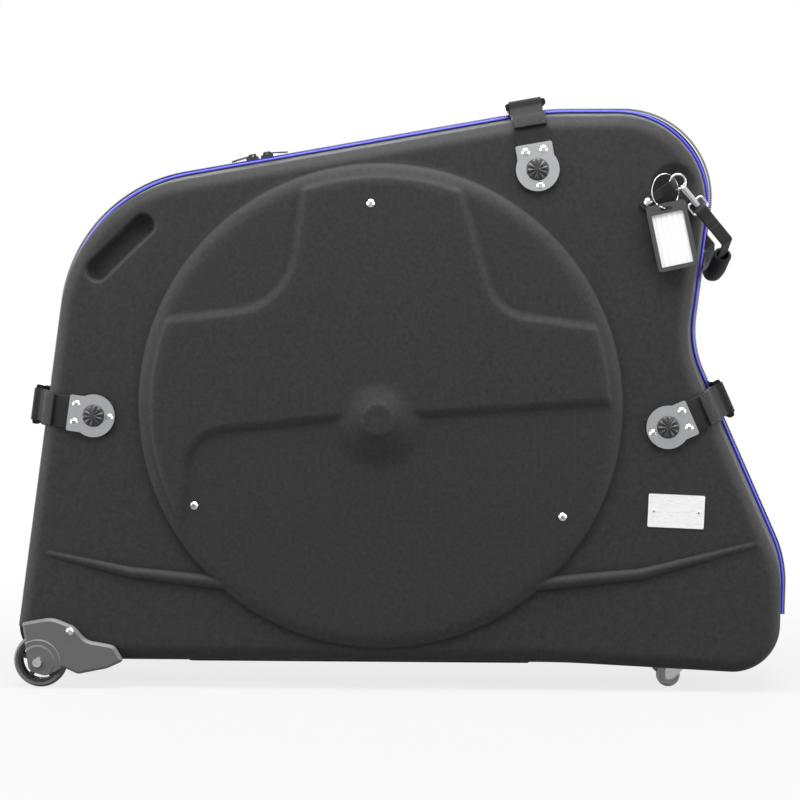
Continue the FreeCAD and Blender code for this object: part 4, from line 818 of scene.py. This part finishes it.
def mesh_object(name, parts, material, sharp=50.0):
    """One object from parts of points, faces and cloth coordinates in millimetres."""
    verts, faces, cloth = [], [], []
    for points, polygons, loops in parts:
        base = sum(len(v) for v in verts)
        verts.append(points)
        faces += [[i + base for i in polygon] for polygon in polygons]
        cloth.append(loops)
    mesh = bpy.data.meshes.new(name)
    mesh.from_pydata((np.concatenate(verts) * MM).tolist(), [], faces)
    layer = mesh.uv_layers.new(name="cloth")
    layer.data.foreach_set("uv", (np.concatenate(cloth) * MM).astype(np.float32).ravel())
    mesh.polygons.foreach_set("use_smooth", [True] * len(mesh.polygons))
    mesh.set_sharp_from_angle(angle=math.radians(sharp))
    mesh.materials.append(finish(material))
    return link(name, mesh)


def settle(obj, body, slot, *nodes):
    """Lets a finished piece ride on its body in place of CAD nodes."""
    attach(obj, body)
    if nodes:
        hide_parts(*nodes)


def paint(material, *nodes):
    """Gives CAD nodes their finish."""
    for node in nodes:
        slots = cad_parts[node].data.materials
        slots.clear()
        slots.append(finish(material))


def row_tree():
    """Geometry nodes that set a rounded grain along every path: stitches of a seam, teeth of a zip."""
    name = "grains along a path"
    tree = bpy.data.node_groups.get(name)
    if tree:
        return tree
    tree = bpy.data.node_groups.new(name, 'GeometryNodeTree')
    inputs = {"Path": 'Geometry', "Pitch": 'Float', "Grain size": 'Vector', "Finish": 'Material'}
    for socket, kind in inputs.items():
        tree.interface.new_socket(socket, in_out='INPUT', socket_type='NodeSocket' + kind)
    tree.interface.new_socket("Row", in_out='OUTPUT', socket_type='NodeSocketGeometry')
    given = add(tree, 'NodeGroupInput')
    curve = add(tree, 'GeometryNodeMeshToCurve', {'Mesh': given.outputs['Path']})
    spots = add(tree, 'GeometryNodeCurveToPoints',
                {'Curve': curve.outputs['Curve'], 'Length': given.outputs['Pitch']}, mode='LENGTH')
    along = add(tree, 'FunctionNodeAlignRotationToVector', {'Vector': spots.outputs['Tangent']}, axis='X')
    turned = add(tree, 'FunctionNodeAlignRotationToVector',
                 {'Rotation': along.outputs['Rotation'], 'Vector': (0.0, 1.0, 0.0)}, axis='Y', pivot_axis='X')
    grain = add(tree, 'GeometryNodeMeshUVSphere', {'Segments': 8, 'Rings': 5, 'Radius': 0.5})
    copies = add(tree, 'GeometryNodeInstanceOnPoints',
                 {'Points': spots.outputs['Points'], 'Instance': grain.outputs['Mesh'],
                  'Rotation': turned.outputs['Rotation'], 'Scale': given.outputs['Grain size']})
    real = add(tree, 'GeometryNodeRealizeInstances', {'Geometry': copies.outputs['Instances']})
    smooth = add(tree, 'GeometryNodeSetShadeSmooth', {'Geometry': real.outputs['Geometry']})
    dressed = add(tree, 'GeometryNodeSetMaterial',
                  {'Geometry': smooth.outputs['Geometry'], 'Material': given.outputs['Finish']})
    add(tree, 'NodeGroupOutput', {'Row': dressed.outputs['Geometry']})
    return tree


def row_object(name, paths, pitch, size, material):
    """Plain mesh of grains along paths given in millimetres; pitch and size are in metres."""
    verts, edges = [], []
    for path in paths:
        base = len(verts)
        verts += [tuple(p) for p in np.array(path) * MM]
        edges += [(base + k, base + k + 1) for k in range(len(path) - 1)]
    mesh = bpy.data.meshes.new(name)
    mesh.from_pydata(verts, edges, [])
    holder = link(name + "_path", mesh)
    tree = row_tree()
    modifier = holder.modifiers.new("rows", 'NODES')
    modifier.node_group = tree
    keys = {item.name: item.identifier for item in tree.interface.items_tree if item.in_out == 'INPUT'}
    modifier[keys["Pitch"]] = pitch
    modifier[keys["Grain size"]] = size
    modifier[keys["Finish"]] = finish(material)
    bpy.context.view_layer.update()
    result = bpy.data.meshes.new_from_object(holder.evaluated_get(bpy.context.evaluated_depsgraph_get()))
    bpy.data.objects.remove(holder)
    return link(name, result)


def stitches(scene, name, paths):
    s = scene.case_sizes
    return row_object(name, paths, s.stitch_pitch, (s.stitch_length, s.thread, s.thread), "polyester thread")


def sewn(scene, piece, node, parts, seams, body="half"):
    """Webbing with its stitching on the front and the rear, in place of the node of that name on each."""
    for half, rides, made in halves(parts, body):
        flip = [1.0, 1.0 if half == "front" else -1.0, 1.0]
        cloth = mesh_object(f"{half}_{piece}_webbing", made, "polyester webbing")
        settle(cloth, rides, "webbing", f"{half}_{node}")
        thread = stitches(scene, f"{half}_{piece}_stitches", [np.array(line) * flip for line in seams])
        settle(thread, rides, "webbing")


def on_side(points, side, along):
    """Points of local along, depth and out, carried to their place on a straight side of the seam."""
    a = SEAM[side]
    d = direction(a, SEAM[side + 1])
    points = np.array(points, float)
    x = a[0] + d[0] * along + points[:, 0] * d[0] - points[:, 2] * d[1]
    z = a[1] + d[1] * along + points[:, 0] * d[1] + points[:, 2] * d[0]
    return np.stack([x, points[:, 1], z], 1)


def zip_corners(out):
    """Run of the zip round the case, a distance outside the seam."""
    corners = inset(SEAM, -out)
    ends = []
    for height, (a, b) in zip(ZIP_ENDS, (corners[0:2], corners[5:7])):
        d = direction(a, b)
        ends.append((a[0] + d[0] / d[1] * (height - a[1]), height, 0.0))
    return [ends[0]] + corners[1:6] + [ends[1]]


def zip_sweep(profile, spacing):
    """Closed profile of out and depth, carried along the zip."""
    counts = None
    rows = []
    for out, y in profile:
        line, counts = trace(zip_corners(out), spacing, closed=False, counts=counts)
        rows.append(np.stack([line[:, 0], np.full(len(line), y), line[:, 1]], 1))
    rings = np.stack(rows, 1)
    return swept(rings, walked(np.array(profile)), walked(rings[:, 0]))


def stud(side, along, setback):
    """Rubber stud in its plate: a low dome with radial ribs."""
    a = turns(120)
    rows = [np.stack([radius * np.cos(a), STUD_BASE - height - ridge * np.cos(STUD_RIBS * a),
                      radius * np.sin(a) - setback], 1) for radius, height, ridge in STUD_RINGS]
    points = on_side(np.concatenate(rows + [[(0.0, STUD_BASE - 5.9, -setback)]]), side, along)
    count, last = len(a), (len(rows) - 1) * len(a)
    faces = grid(len(rows), count).tolist()
    faces += [[last + k, last + (k + 1) % count, len(points) - 1] for k in range(count)]
    faces.append(list(range(count))[::-1])
    return points, faces, np.zeros((sum(len(f) for f in faces), 2))


def strap_lines(setback, thick):
    """Out and depth along the layers of a closing strap: strap, end folded round the bar, hem on the fold."""
    slope, secant = math.tan(DRAFT), 1.0 / math.cos(DRAFT)
    middle = 0.3 + thick / 2
    lap = middle + thick + 0.2
    over = lap + thick

    def on_wall(lift, y):
        return y * slope + lift * secant, y

    def edge(lift):
        return *on_wall(lift, -HALF_DEPTH - lift), EDGE_ROUND + lift

    main = [(-setback - 28.0, -HALF_DEPTH - middle, 0.0), edge(middle), (*on_wall(middle, -66.0), 26.0),
            (4.1, BAR_Y + 0.5, 7.0), (15.35, BAR_Y + 7.56, 0.0)]
    fold = [(16.3, BAR_Y + 7.0, 0.0), (20.6, BAR_Y + 5.0, 3.0), (20.6, BAR_Y - 5.6, 3.5),
            (8.6, BAR_Y - 6.2, 7.0), (0.2, -56.2, 10.0), (*on_wall(lap, -66.7), 20.0), edge(lap),
            (-60.0, -HALF_DEPTH - lap, 0.0)]
    hem = [(*on_wall(over, -66.7), 0.0), edge(over), (-60.0, -HALF_DEPTH - over, 0.0)]
    main, fold, hem = (trace(path, 3.0, closed=False)[0] for path in (main, fold, hem))
    return main, fold[fold[:, 0] > -FOLD_END], hem[hem[:, 0] > -FOLD_END][-10:]


def box_seam(band, width, lift):
    """Stitched box with a cross, at the end of a strip."""
    reach = width / 2 - 5.0
    a, b = band[3][-1] - 3.5, band[3][-1] - 23.5
    box = [(a, -reach), (a, reach), (b, reach), (b, -reach), (a, -reach), (b, reach)]
    return [[on_band(band, p + (q - p) * t, u + (v - u) * t, lift) for t in np.linspace(0, 1, 14)]
            for (p, u), (q, v) in list(zip(box[:-1], box[1:])) + [((a, reach), (b, -reach))]]


def grip_arc():
    """Middle, radius, droop direction and half angle of the grip's arc."""
    half = -GRIP_END.y
    sag = GRIP_MIDDLE - Vector((GRIP_END.x, 0.0, GRIP_END.z))
    radius = (half * half + sag.length_squared) / (2.0 * sag.length)
    droop = sag.normalized()
    return GRIP_MIDDLE - droop * radius, radius, droop, math.asin(half / radius)


class CASE_OT_finishes(bpy.types.Operator):
    """Makes the finishes of all pieces"""
    bl_idname = "case.finishes"
    bl_label = "Finishes"

    def execute(self, context):
        make_finishes(context.scene)
        return {'FINISHED'}


class CASE_OT_skins(bpy.types.Operator):
    """Moulded skins of both halves and their linings"""
    bl_idname = "case.skins"
    bl_label = "Skins"

    def execute(self, context):
        s = context.scene.case_sizes
        outer = skin(s.skin_spacing / MM, wall_rows=20, round_rows=12, details=True, rim_wall=s.wall / MM)
        inner = skin(s.lining_spacing / MM, wall_rows=10, round_rows=6, details=False, rim_wall=0.0)
        bend = creases(outer[0]).astype(np.float32)
        for half, body, (outside, inside) in halves([outer, inner]):
            cover = mesh_object(half + "_skin", [outside], "polyester cloth", 60.0)
            # the bend goes to the cloth as the crease attribute, which paints shade into creases and a
            # highlight on raised edges
            cover.data.attributes.new("crease", 'FLOAT', 'POINT').data.foreach_set("value", bend)
            settle(cover, body, "shell_fabric", half + "_shell")
            lining = mesh_object(half + "_lining", [inside], "knitted lining", 180.0)
            self.sink(lining.data, s.wall)
            settle(lining, body, "shell_fabric")
        return {'FINISHED'}

    def sink(self, mesh, wall):
        """Moves a skin in by the thickness of the wall and turns it to face the inside."""
        normals = np.zeros(len(mesh.vertices) * 3, np.float32)
        spots = np.zeros(len(mesh.vertices) * 3, np.float32)
        mesh.vertex_normals.foreach_get("vector", normals)
        mesh.vertices.foreach_get("co", spots)
        mesh.vertices.foreach_set("co", spots - normals * wall)
        mesh.flip_normals()
        mesh.update()


class CASE_OT_zip(bpy.types.Operator):
    """Zip tapes with their coil, piping, sliders and pullers"""
    bl_idname = "case.zip"
    bl_label = "Zip"

    def execute(self, context):
        pitch = context.scene.case_sizes.coil_pitch
        out, y = COIL
        line = trace(zip_corners(out), 5.0, closed=False)[0]
        for half, body, made in halves([zip_sweep(ZIP_SECTION, 5.0)]):
            tape = mesh_object(half + "_zip_cloth", made, "zip tape cloth")
            settle(tape, body, "zip_tape", half + "_zip_tape")
            path = np.stack([line[:, 0], np.full(len(line), -y if half == "front" else y), line[:, 1]], 1)
            teeth = row_object(half + "_zip_coil", [path], pitch, (pitch * 0.82, 0.0046, 0.0038), "nylon coil")
            settle(teeth, body, "zip_tape")
        paint("extruded PVC piping", "front_piping", "rear_piping")
        paint("lacquered zinc", "left_zip_slider", "right_zip_slider", "left_zip_puller", "right_zip_puller")
        return {'FINISHED'}


class CASE_OT_hinge(bpy.types.Operator):
    """Woven strip under the bottom seam that joins the halves"""
    bl_idname = "case.hinge"
    bl_label = "Hinge strip"

    def execute(self, context):
        left, right, width = HINGE
        rise = BOTTOM_LIFTS[0] / HALF_DEPTH
        bend = 9.0
        across = np.concatenate([np.arange(-width, -bend, 4.0), np.linspace(-bend, bend, 19),
                                 np.arange(bend + 3.0, width + 1.0, 4.0)])
        across[-1] = width
        z = SEAM[0][1] - 0.9 + rise * np.sqrt(across ** 2 + 4.0)
        points = np.stack([np.full(len(across), (left + right) / 2), across, z], 1)
        part, band = strip(points, (1.0, 0.0, 0.0), right - left, 1.6)
        cloth = mesh_object("hinge_strip", [part], "polyester webbing")
        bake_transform(cloth)
        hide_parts("front_hinge_leaf", "rear_hinge_leaf")
        reach = (right - left) / 2 - 6.0
        below = -0.9 if band[2][0][2] > 0 else 0.9
        for body, spot in (("front_half", 5.0), ("rear_half", band[3][-1] - 5.0)):
            lines = [cross_seam(band, spot + step, reach, below, 60) for step in (-1.5, 1.5)]
            settle(stitches(context.scene, body + "_hinge_stitches", lines), body, "webbing")
        return {'FINISHED'}


class CASE_OT_straps(bpy.types.Operator):
    """Closing straps with their folded ends and stitching, plates, studs and buckles"""
    bl_idname = "case.straps"
    bl_label = "Closing straps"

    def execute(self, context):
        s = context.scene.case_sizes
        width, thick = s.strap_width / MM, s.strap_thickness / MM
        parts, seams = [], []
        for side, along, setback in STRAPS:
            d = direction(SEAM[side], SEAM[side + 1])
            for line in strap_lines(setback, thick):
                spots = on_side(np.stack([np.zeros(len(line)), line[:, 1], line[:, 0]], 1), side, along)
                part, band = strip(spots, (d[0], 0.0, d[1]), width, thick)
                parts.append(part)
            # the last layer is the hem, which is sewn through
            outwards = float(np.dot(band[2][-1], (-d[1], 0.0, d[0])))
            seams += box_seam(band, width, math.copysign(thick / 2 + 0.1, outwards))
        sewn(context.scene, "strap", "straps", parts, seams)
        for half, body, domes in halves([stud(*site) for site in STRAPS]):
            studs = mesh_object(half + "_stud_domes", domes, "stud rubber", 70.0)
            settle(studs, body, "rubber", half + "_strap_studs")
            paint("satin nickel steel", half + "_strap_plates")
            paint("bright nickel", half + "_rivets")
        paint("acetal", "buckle_sockets", "buckle_plugs")
        return {'FINISHED'}


class CASE_OT_hold_straps(bpy.types.Operator):
    """Hold-down straps for the bicycle wheel, inside the case"""
    bl_idname = "case.hold_straps"
    bl_label = "Hold-down straps"

    def execute(self, context):
        width, thick = 25.0, 1.6
        inwards = context.scene.case_sizes.wall / MM + 0.3 + thick / 2
        parts, seams = [], []
        for angle, inside, depth in DISC_RIVETS:
            a = math.radians(angle)
            ux, uz = math.cos(a), math.sin(a)
            x, z = DISC[0] + (DISC[2] - inside) * ux, DISC[1] + (DISC[2] - inside) * uz
            run = np.linspace(-110.0, 22.0, 40)
            sag = 1.6 * np.sin(np.clip((-run - 14.0) / 96.0, 0.0, 1.0) * math.pi) ** 2
            spots = np.stack([x + run * ux, inwards - depth + sag, z + run * uz], 1)
            part, band = strip(spots, (-uz, 0.0, ux), width, thick)
            parts.append(part)
            lift = math.copysign(thick / 2 + 0.1, band[2][0][1])
            seams += [cross_seam(band, along, 10.0, lift, 8) for along in (4.0, 8.0, band[3][-1] - 4.0)]
        sewn(context.scene, "hold", "hold_straps", parts, seams)
        return {'FINISHED'}


class CASE_OT_wheels(bpy.types.Operator):
    """Finishes of the wheel guards, luggage wheels and casters"""
    bl_idname = "case.wheels"
    bl_label = "Wheels"

    def execute(self, context):
        for half in ("front", "rear"):
            paint("grained polypropylene", half + "_wheel_guard")
            paint("bright nickel", half + "_axle", half + "_caster_axle")
            paint("polyurethane tread", half + "_tyre")
            paint("moulded nylon", half + "_wheel_hub")
            paint("zinc plated steel", half + "_caster_mount", half + "_caster_fork")
            paint("roller rubber", half + "_caster_wheel")
        return {'FINISHED'}


class CASE_OT_handle(bpy.types.Operator):
    """Anchor tabs, handle straps and padded grip; finish of the snap hooks"""
    bl_idname = "case.handle"
    bl_label = "Handle"

    def execute(self, context):
        s = context.scene.case_sizes
        arc = grip_arc()
        self.straps(context.scene, s.handle_width / MM, *arc[2:])
        for half in ("front", "rear"):
            paint("bright nickel", half + "_hook", half + "_hook_gate", half + "_hook_eye")
        self.tabs(context.scene)
        self.grip(s.grip_radius / MM, *arc)
        return {'FINISHED'}

    def straps(self, scene, width, droop, half_angle):
        """Straps from a loop round the bar of each hook to the inside of the grip."""
        depth = Vector((0.0, 1.0, 0.0))
        tangent = droop * math.sin(half_angle) + depth * math.cos(half_angle)
        fold = GRIP_END - tangent * ((GRIP_END.y - HOOK.y) / tangent.y)
        along = Vector((fold.x - HOOK.x, 0.0, fold.z - HOOK.z)).normalized()
        bar = HOOK + along * HOOK_BAR
        bends = [math.radians(90.0 + 22.5 * k) for k in range(9)]
        loop = [(27.0, 1.3), (12.0, 1.6), (4.0, 3.4)] + [(3.6 * math.cos(a), 3.6 * math.sin(a)) for a in bends]
        loop += [(4.0, -3.4), (12.0, -1.5), (24.0, -1.3)]
        path = [bar + along * a + depth * d for a, d in loop]
        path += [fold - along * 6.0 - depth * 0.8, fold, fold + tangent * 8.0, GRIP_END + tangent * 16.0]
        part, band = strip(smoothed([tuple(p) for p in path], 3), (-along.z, 0.0, along.x), width, 2.4)
        seams = [cross_seam(band, band[3][-1] * share, 7.0, lift, 6)
                 for share in (0.40, 0.47) for lift in (1.3, -1.3)]
        sewn(scene, "handle", "handle_strap", [part], seams, "handle")

    def tabs(self, scene):
        """Doubled tabs that hold the hooks, from the rivet round the ring and back."""
        reach = math.hypot(HOOK.x - ANCHOR.x, HOOK.z - ANCHOR.z)
        ux, uz = (HOOK.x - ANCHOR.x) / reach, (HOOK.z - ANCHOR.z) / reach
        eye, bend = reach - 11.0, 7.2
        flat = [(-12.0, -116.3), (-4.0, -116.3), (4.0, -116.3), (eye - 17.0, -116.2)]
        for k in range(13):
            a = math.radians(112.0 - 224.0 * k / 12.0)
            flat.append((eye + bend * math.cos(a), HOOK.y + bend * math.sin(a)))
        flat += [(eye - 13.0, -119.5), (eye - 18.0, -118.5), (4.0, -118.4), (-4.0, -118.4), (-12.0, -118.4)]
        spots = [(ANCHOR.x + a * ux, y, ANCHOR.z + a * uz) for a, y in flat]
        part, band = strip(smoothed(spots, 2), (-uz, 0.0, ux), 15.0, 1.9)
        lift = 1.05 if band[2][-1][1] < 0 else -1.05
        seams = [cross_seam(band, band[3][-1] - t, 5.5, lift, 6) for t in (2.5, 20.5)]
        sewn(scene, "anchor", "anchor_tab", [part], seams)

    def grip(self, thick, middle, radius, droop, half_angle):
        """Neoprene sleeve: a hollow tube with hemmed ends and the lap of its wrap."""
        rows, around = 90, 56
        depth = Vector((0.0, 1.0, 0.0))
        span = radius * 2.0 * half_angle
        verts = []
        for k, turn in enumerate(np.linspace(-half_angle, half_angle, rows).tolist()):
            out = droop * math.cos(turn) + depth * math.sin(turn)
            across = (depth * math.cos(turn) - droop * math.sin(turn)).cross(out)
            spot = middle + out * radius
            along = span * k / (rows - 1)
            from_end = min(along, span - along)
            hem = 0.5 * math.exp(-((from_end - 5.0) / 3.0) ** 2)
            hem -= 0.7 * math.exp(-((from_end - 9.0) / 1.2) ** 2)
            close = 1.6 * max(0.0, 1.0 - from_end / 2.5) ** 2
            for a in turns(around).tolist():
                lap = float(0.7 * ease(a, 3.6, 3.75) * (1.0 - ease(a, 4.6, 6.0)))
                size = thick + hem * 0.6 - close + lap + 0.15 * math.sin(along / 9.0 + 3.0 * a)
                verts.append(tuple(spot + out * (size * math.cos(a)) + across * (size * math.sin(a))))
        rings = np.array(verts).reshape(rows, around, 3)
        points = list(rings)
        faces = grid(rows, around).tolist()
        for end, near in ((0, 1), (rows - 1, rows - 2)):
            centre = rings[end].mean(0)
            ahead = rings[near].mean(0) - centre
            lip = centre + (rings[end] - centre) * 0.80
            starts = (end * around, len(points) * around, (len(points) + 1) * around)
            points += [lip, lip + ahead / np.linalg.norm(ahead) * 14.0]
            for k in range(around):
                n = (k + 1) % around
                for p, q in zip(starts[:-1], starts[1:]):
                    quad = [p + k, p + n, q + n, q + k]
                    faces.append(quad if end else quad[::-1])
        points = np.concatenate(points)
        part = (points, faces, on_corners(points[:, 1:], faces))
        piece = mesh_object("padded_grip", [part], "neoprene knit", 60.0)
        piece.data.validate()
        settle(piece, "rear_handle", "grip_foam", "handle_grip")


class CASE_OT_tag(bpy.types.Operator):
    """Wire loop of the luggage tag; finish of its frame, card and film, and of the nameplate"""
    bl_idname = "case.tag"
    bl_label = "Luggage tag"

    def execute(self, context):
        # the wire runs over the anchor tab, down in front of the tag, back through its slot
        # and up behind the tab's eye
        x, z, half_width, half_height = TAG_LOOP
        degrees = np.arange(0.0, 360.0, 3.0)
        y = np.interp(degrees, *TAG_LOOP_DEPTH)
        for _ in range(3):
            y = (np.roll(y, 1) + 2.0 * y + np.roll(y, -1)) / 4.0
        a = np.radians(degrees)
        spots = np.stack([x + half_width * np.cos(a), y, z + half_height * np.sin(a)], 1)
        part = wire_loop(spots, context.scene.case_sizes.tag_wire / MM, 10)
        settle(mesh_object("tag_wire_loop", [part], "bright nickel"), "luggage_tag", "chrome", "tag_loop")
        paint("soft PVC", "tag_frame")
        paint("ruled card", "tag_card")
        paint("clear PVC film", "tag_window")
        paint("anodised aluminium", "nameplate")
        paint("bright nickel", "nameplate_rivets")
        return {'FINISHED'}


class CASE_OT_stage(bpy.types.Operator):
    """Pale floor, soft studio light and the camera"""
    bl_idname = "case.stage"
    bl_label = "Stage"

    def execute(self, context):
        scene = context.scene
        half = 9.0
        mesh = bpy.data.meshes.new("studio_floor")
        corners = [(-half, -half, 0), (half, -half, 0), (half, half, 0), (-half, half, 0)]
        mesh.from_pydata(corners, [], [(0, 1, 2, 3)])
        mesh.materials.append(self.floor_finish(scene.case_colours.floor))
        link("studio_floor", mesh)
        self.sky(scene)
        for name, values in LAMPS.items():
            self.lamp(name, *values)
        self.camera(scene, scene.case_view)
        scene.view_settings.view_transform = 'Standard'
        return {'FINISHED'}

    def camera(self, scene, view):
        camera = bpy.data.cameras.new("camera")
        camera.angle = view.field
        camera.clip_end = 60.0
        scene.camera = link("camera", camera)
        flat = math.cos(view.elevation)
        away = Vector((math.sin(view.azimuth) * flat, -math.cos(view.azimuth) * flat, math.sin(view.elevation)))
        scene.camera.location = Vector(view.target) + away * view.distance
        scene.camera.rotation_euler = away.to_track_quat('Z', 'Y').to_euler()

    def floor_finish(self, base):
        """Matt studio paper: lit for the light, mostly plain white for the eye, so its shadow stays faint."""
        material = blank("studio paper")
        tree = material.node_tree
        paper = add(tree, 'ShaderNodeBsdfDiffuse', {'Color': base})
        white = add(tree, 'ShaderNodeEmission', {'Color': WHITE, 'Strength': 1.0})
        path = add(tree, 'ShaderNodeLightPath')
        away = add(tree, 'ShaderNodeVectorMath', {0: on_piece(tree)}, operation='LENGTH')
        plain = add(tree, 'ShaderNodeMapRange',
                    {'Value': away.outputs['Value'], 'From Min': 0.5, 'From Max': 1.6, 'To Min': 0.8,
                     'To Max': 1.0}, interpolation_type='SMOOTHSTEP')
        share = add(tree, 'ShaderNodeMath', {0: path.outputs['Is Camera Ray'], 1: plain.outputs['Result']},
                    operation='MULTIPLY')
        mix = add(tree, 'ShaderNodeMixShader', {0: share.outputs[0], 1: paper.outputs[0], 2: white.outputs[0]})
        add(tree, 'ShaderNodeOutputMaterial', {'Surface': mix.outputs[0]})
        return material

    def sky(self, scene):
        """White to the eye and in reflections, a level grey as light."""
        scene.world = scene.world or bpy.data.worlds.new("studio")
        scene.world.use_nodes = True
        tree = scene.world.node_tree
        tree.nodes.clear()
        path = add(tree, 'ShaderNodeLightPath')
        seen = path.outputs['Is Camera Ray']
        for ray in ('Is Transmission Ray', 'Is Glossy Ray'):
            seen = add(tree, 'ShaderNodeMath', {0: seen, 1: path.outputs[ray]}, operation='MAXIMUM').outputs[0]
        level = add(tree, 'ShaderNodeMapRange', {'Value': seen, 'To Min': 0.2, 'To Max': 1.0})
        light = add(tree, 'ShaderNodeBackground', {'Color': WHITE, 'Strength': level.outputs['Result']})
        add(tree, 'ShaderNodeOutputWorld', {'Surface': light.outputs[0]})

    def lamp(self, name, place, aim, width, height, power):
        data = bpy.data.lights.new(name, 'AREA')
        data.shape = 'RECTANGLE'
        data.size = width
        data.size_y = height
        data.energy = power
        obj = link(name, data)
        obj.location = place
        obj.rotation_euler = (Vector(place) - Vector(aim)).to_track_quat('Z', 'Y').to_euler()


STEPS = (CASE_OT_finishes, CASE_OT_stage, CASE_OT_skins, CASE_OT_zip, CASE_OT_hinge, CASE_OT_straps,
         CASE_OT_hold_straps, CASE_OT_wheels, CASE_OT_handle, CASE_OT_tag)


class CASE_PT_panel(bpy.types.Panel):
    """Sizes, colours and pieces of the travel case"""
    bl_idname = "CASE_PT_panel"
    bl_label = "Travel case"
    bl_space_type = 'VIEW_3D'
    bl_region_type = 'UI'
    bl_category = "Travel case"

    def draw(self, context):
        for group in (context.scene.case_sizes, context.scene.case_colours, context.scene.case_view):
            box = self.layout.box()
            for key in group.bl_rna.properties.keys():
                if key not in ("rna_type", "name"):
                    box.prop(group, key)
        for step in STEPS:
            self.layout.operator(step.bl_idname)


CLASSES = (CaseSizes, CaseColours, CaseView) + STEPS + (CASE_PT_panel,)


def register():
    for item in CLASSES:
        bpy.utils.register_class(item)
    bpy.types.Scene.case_sizes = bpy.props.PointerProperty(type=CaseSizes)
    bpy.types.Scene.case_colours = bpy.props.PointerProperty(type=CaseColours)
    bpy.types.Scene.case_view = bpy.props.PointerProperty(type=CaseView)


def unregister():
    del bpy.types.Scene.case_view
    del bpy.types.Scene.case_colours
    del bpy.types.Scene.case_sizes
    for item in reversed(CLASSES):
        bpy.utils.unregister_class(item)


def main():
    register()
    for step in STEPS:
        group, name = step.bl_idname.split(".")
        getattr(getattr(bpy.ops, group), name)()
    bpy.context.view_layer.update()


if __name__ == "__main__":
    main()
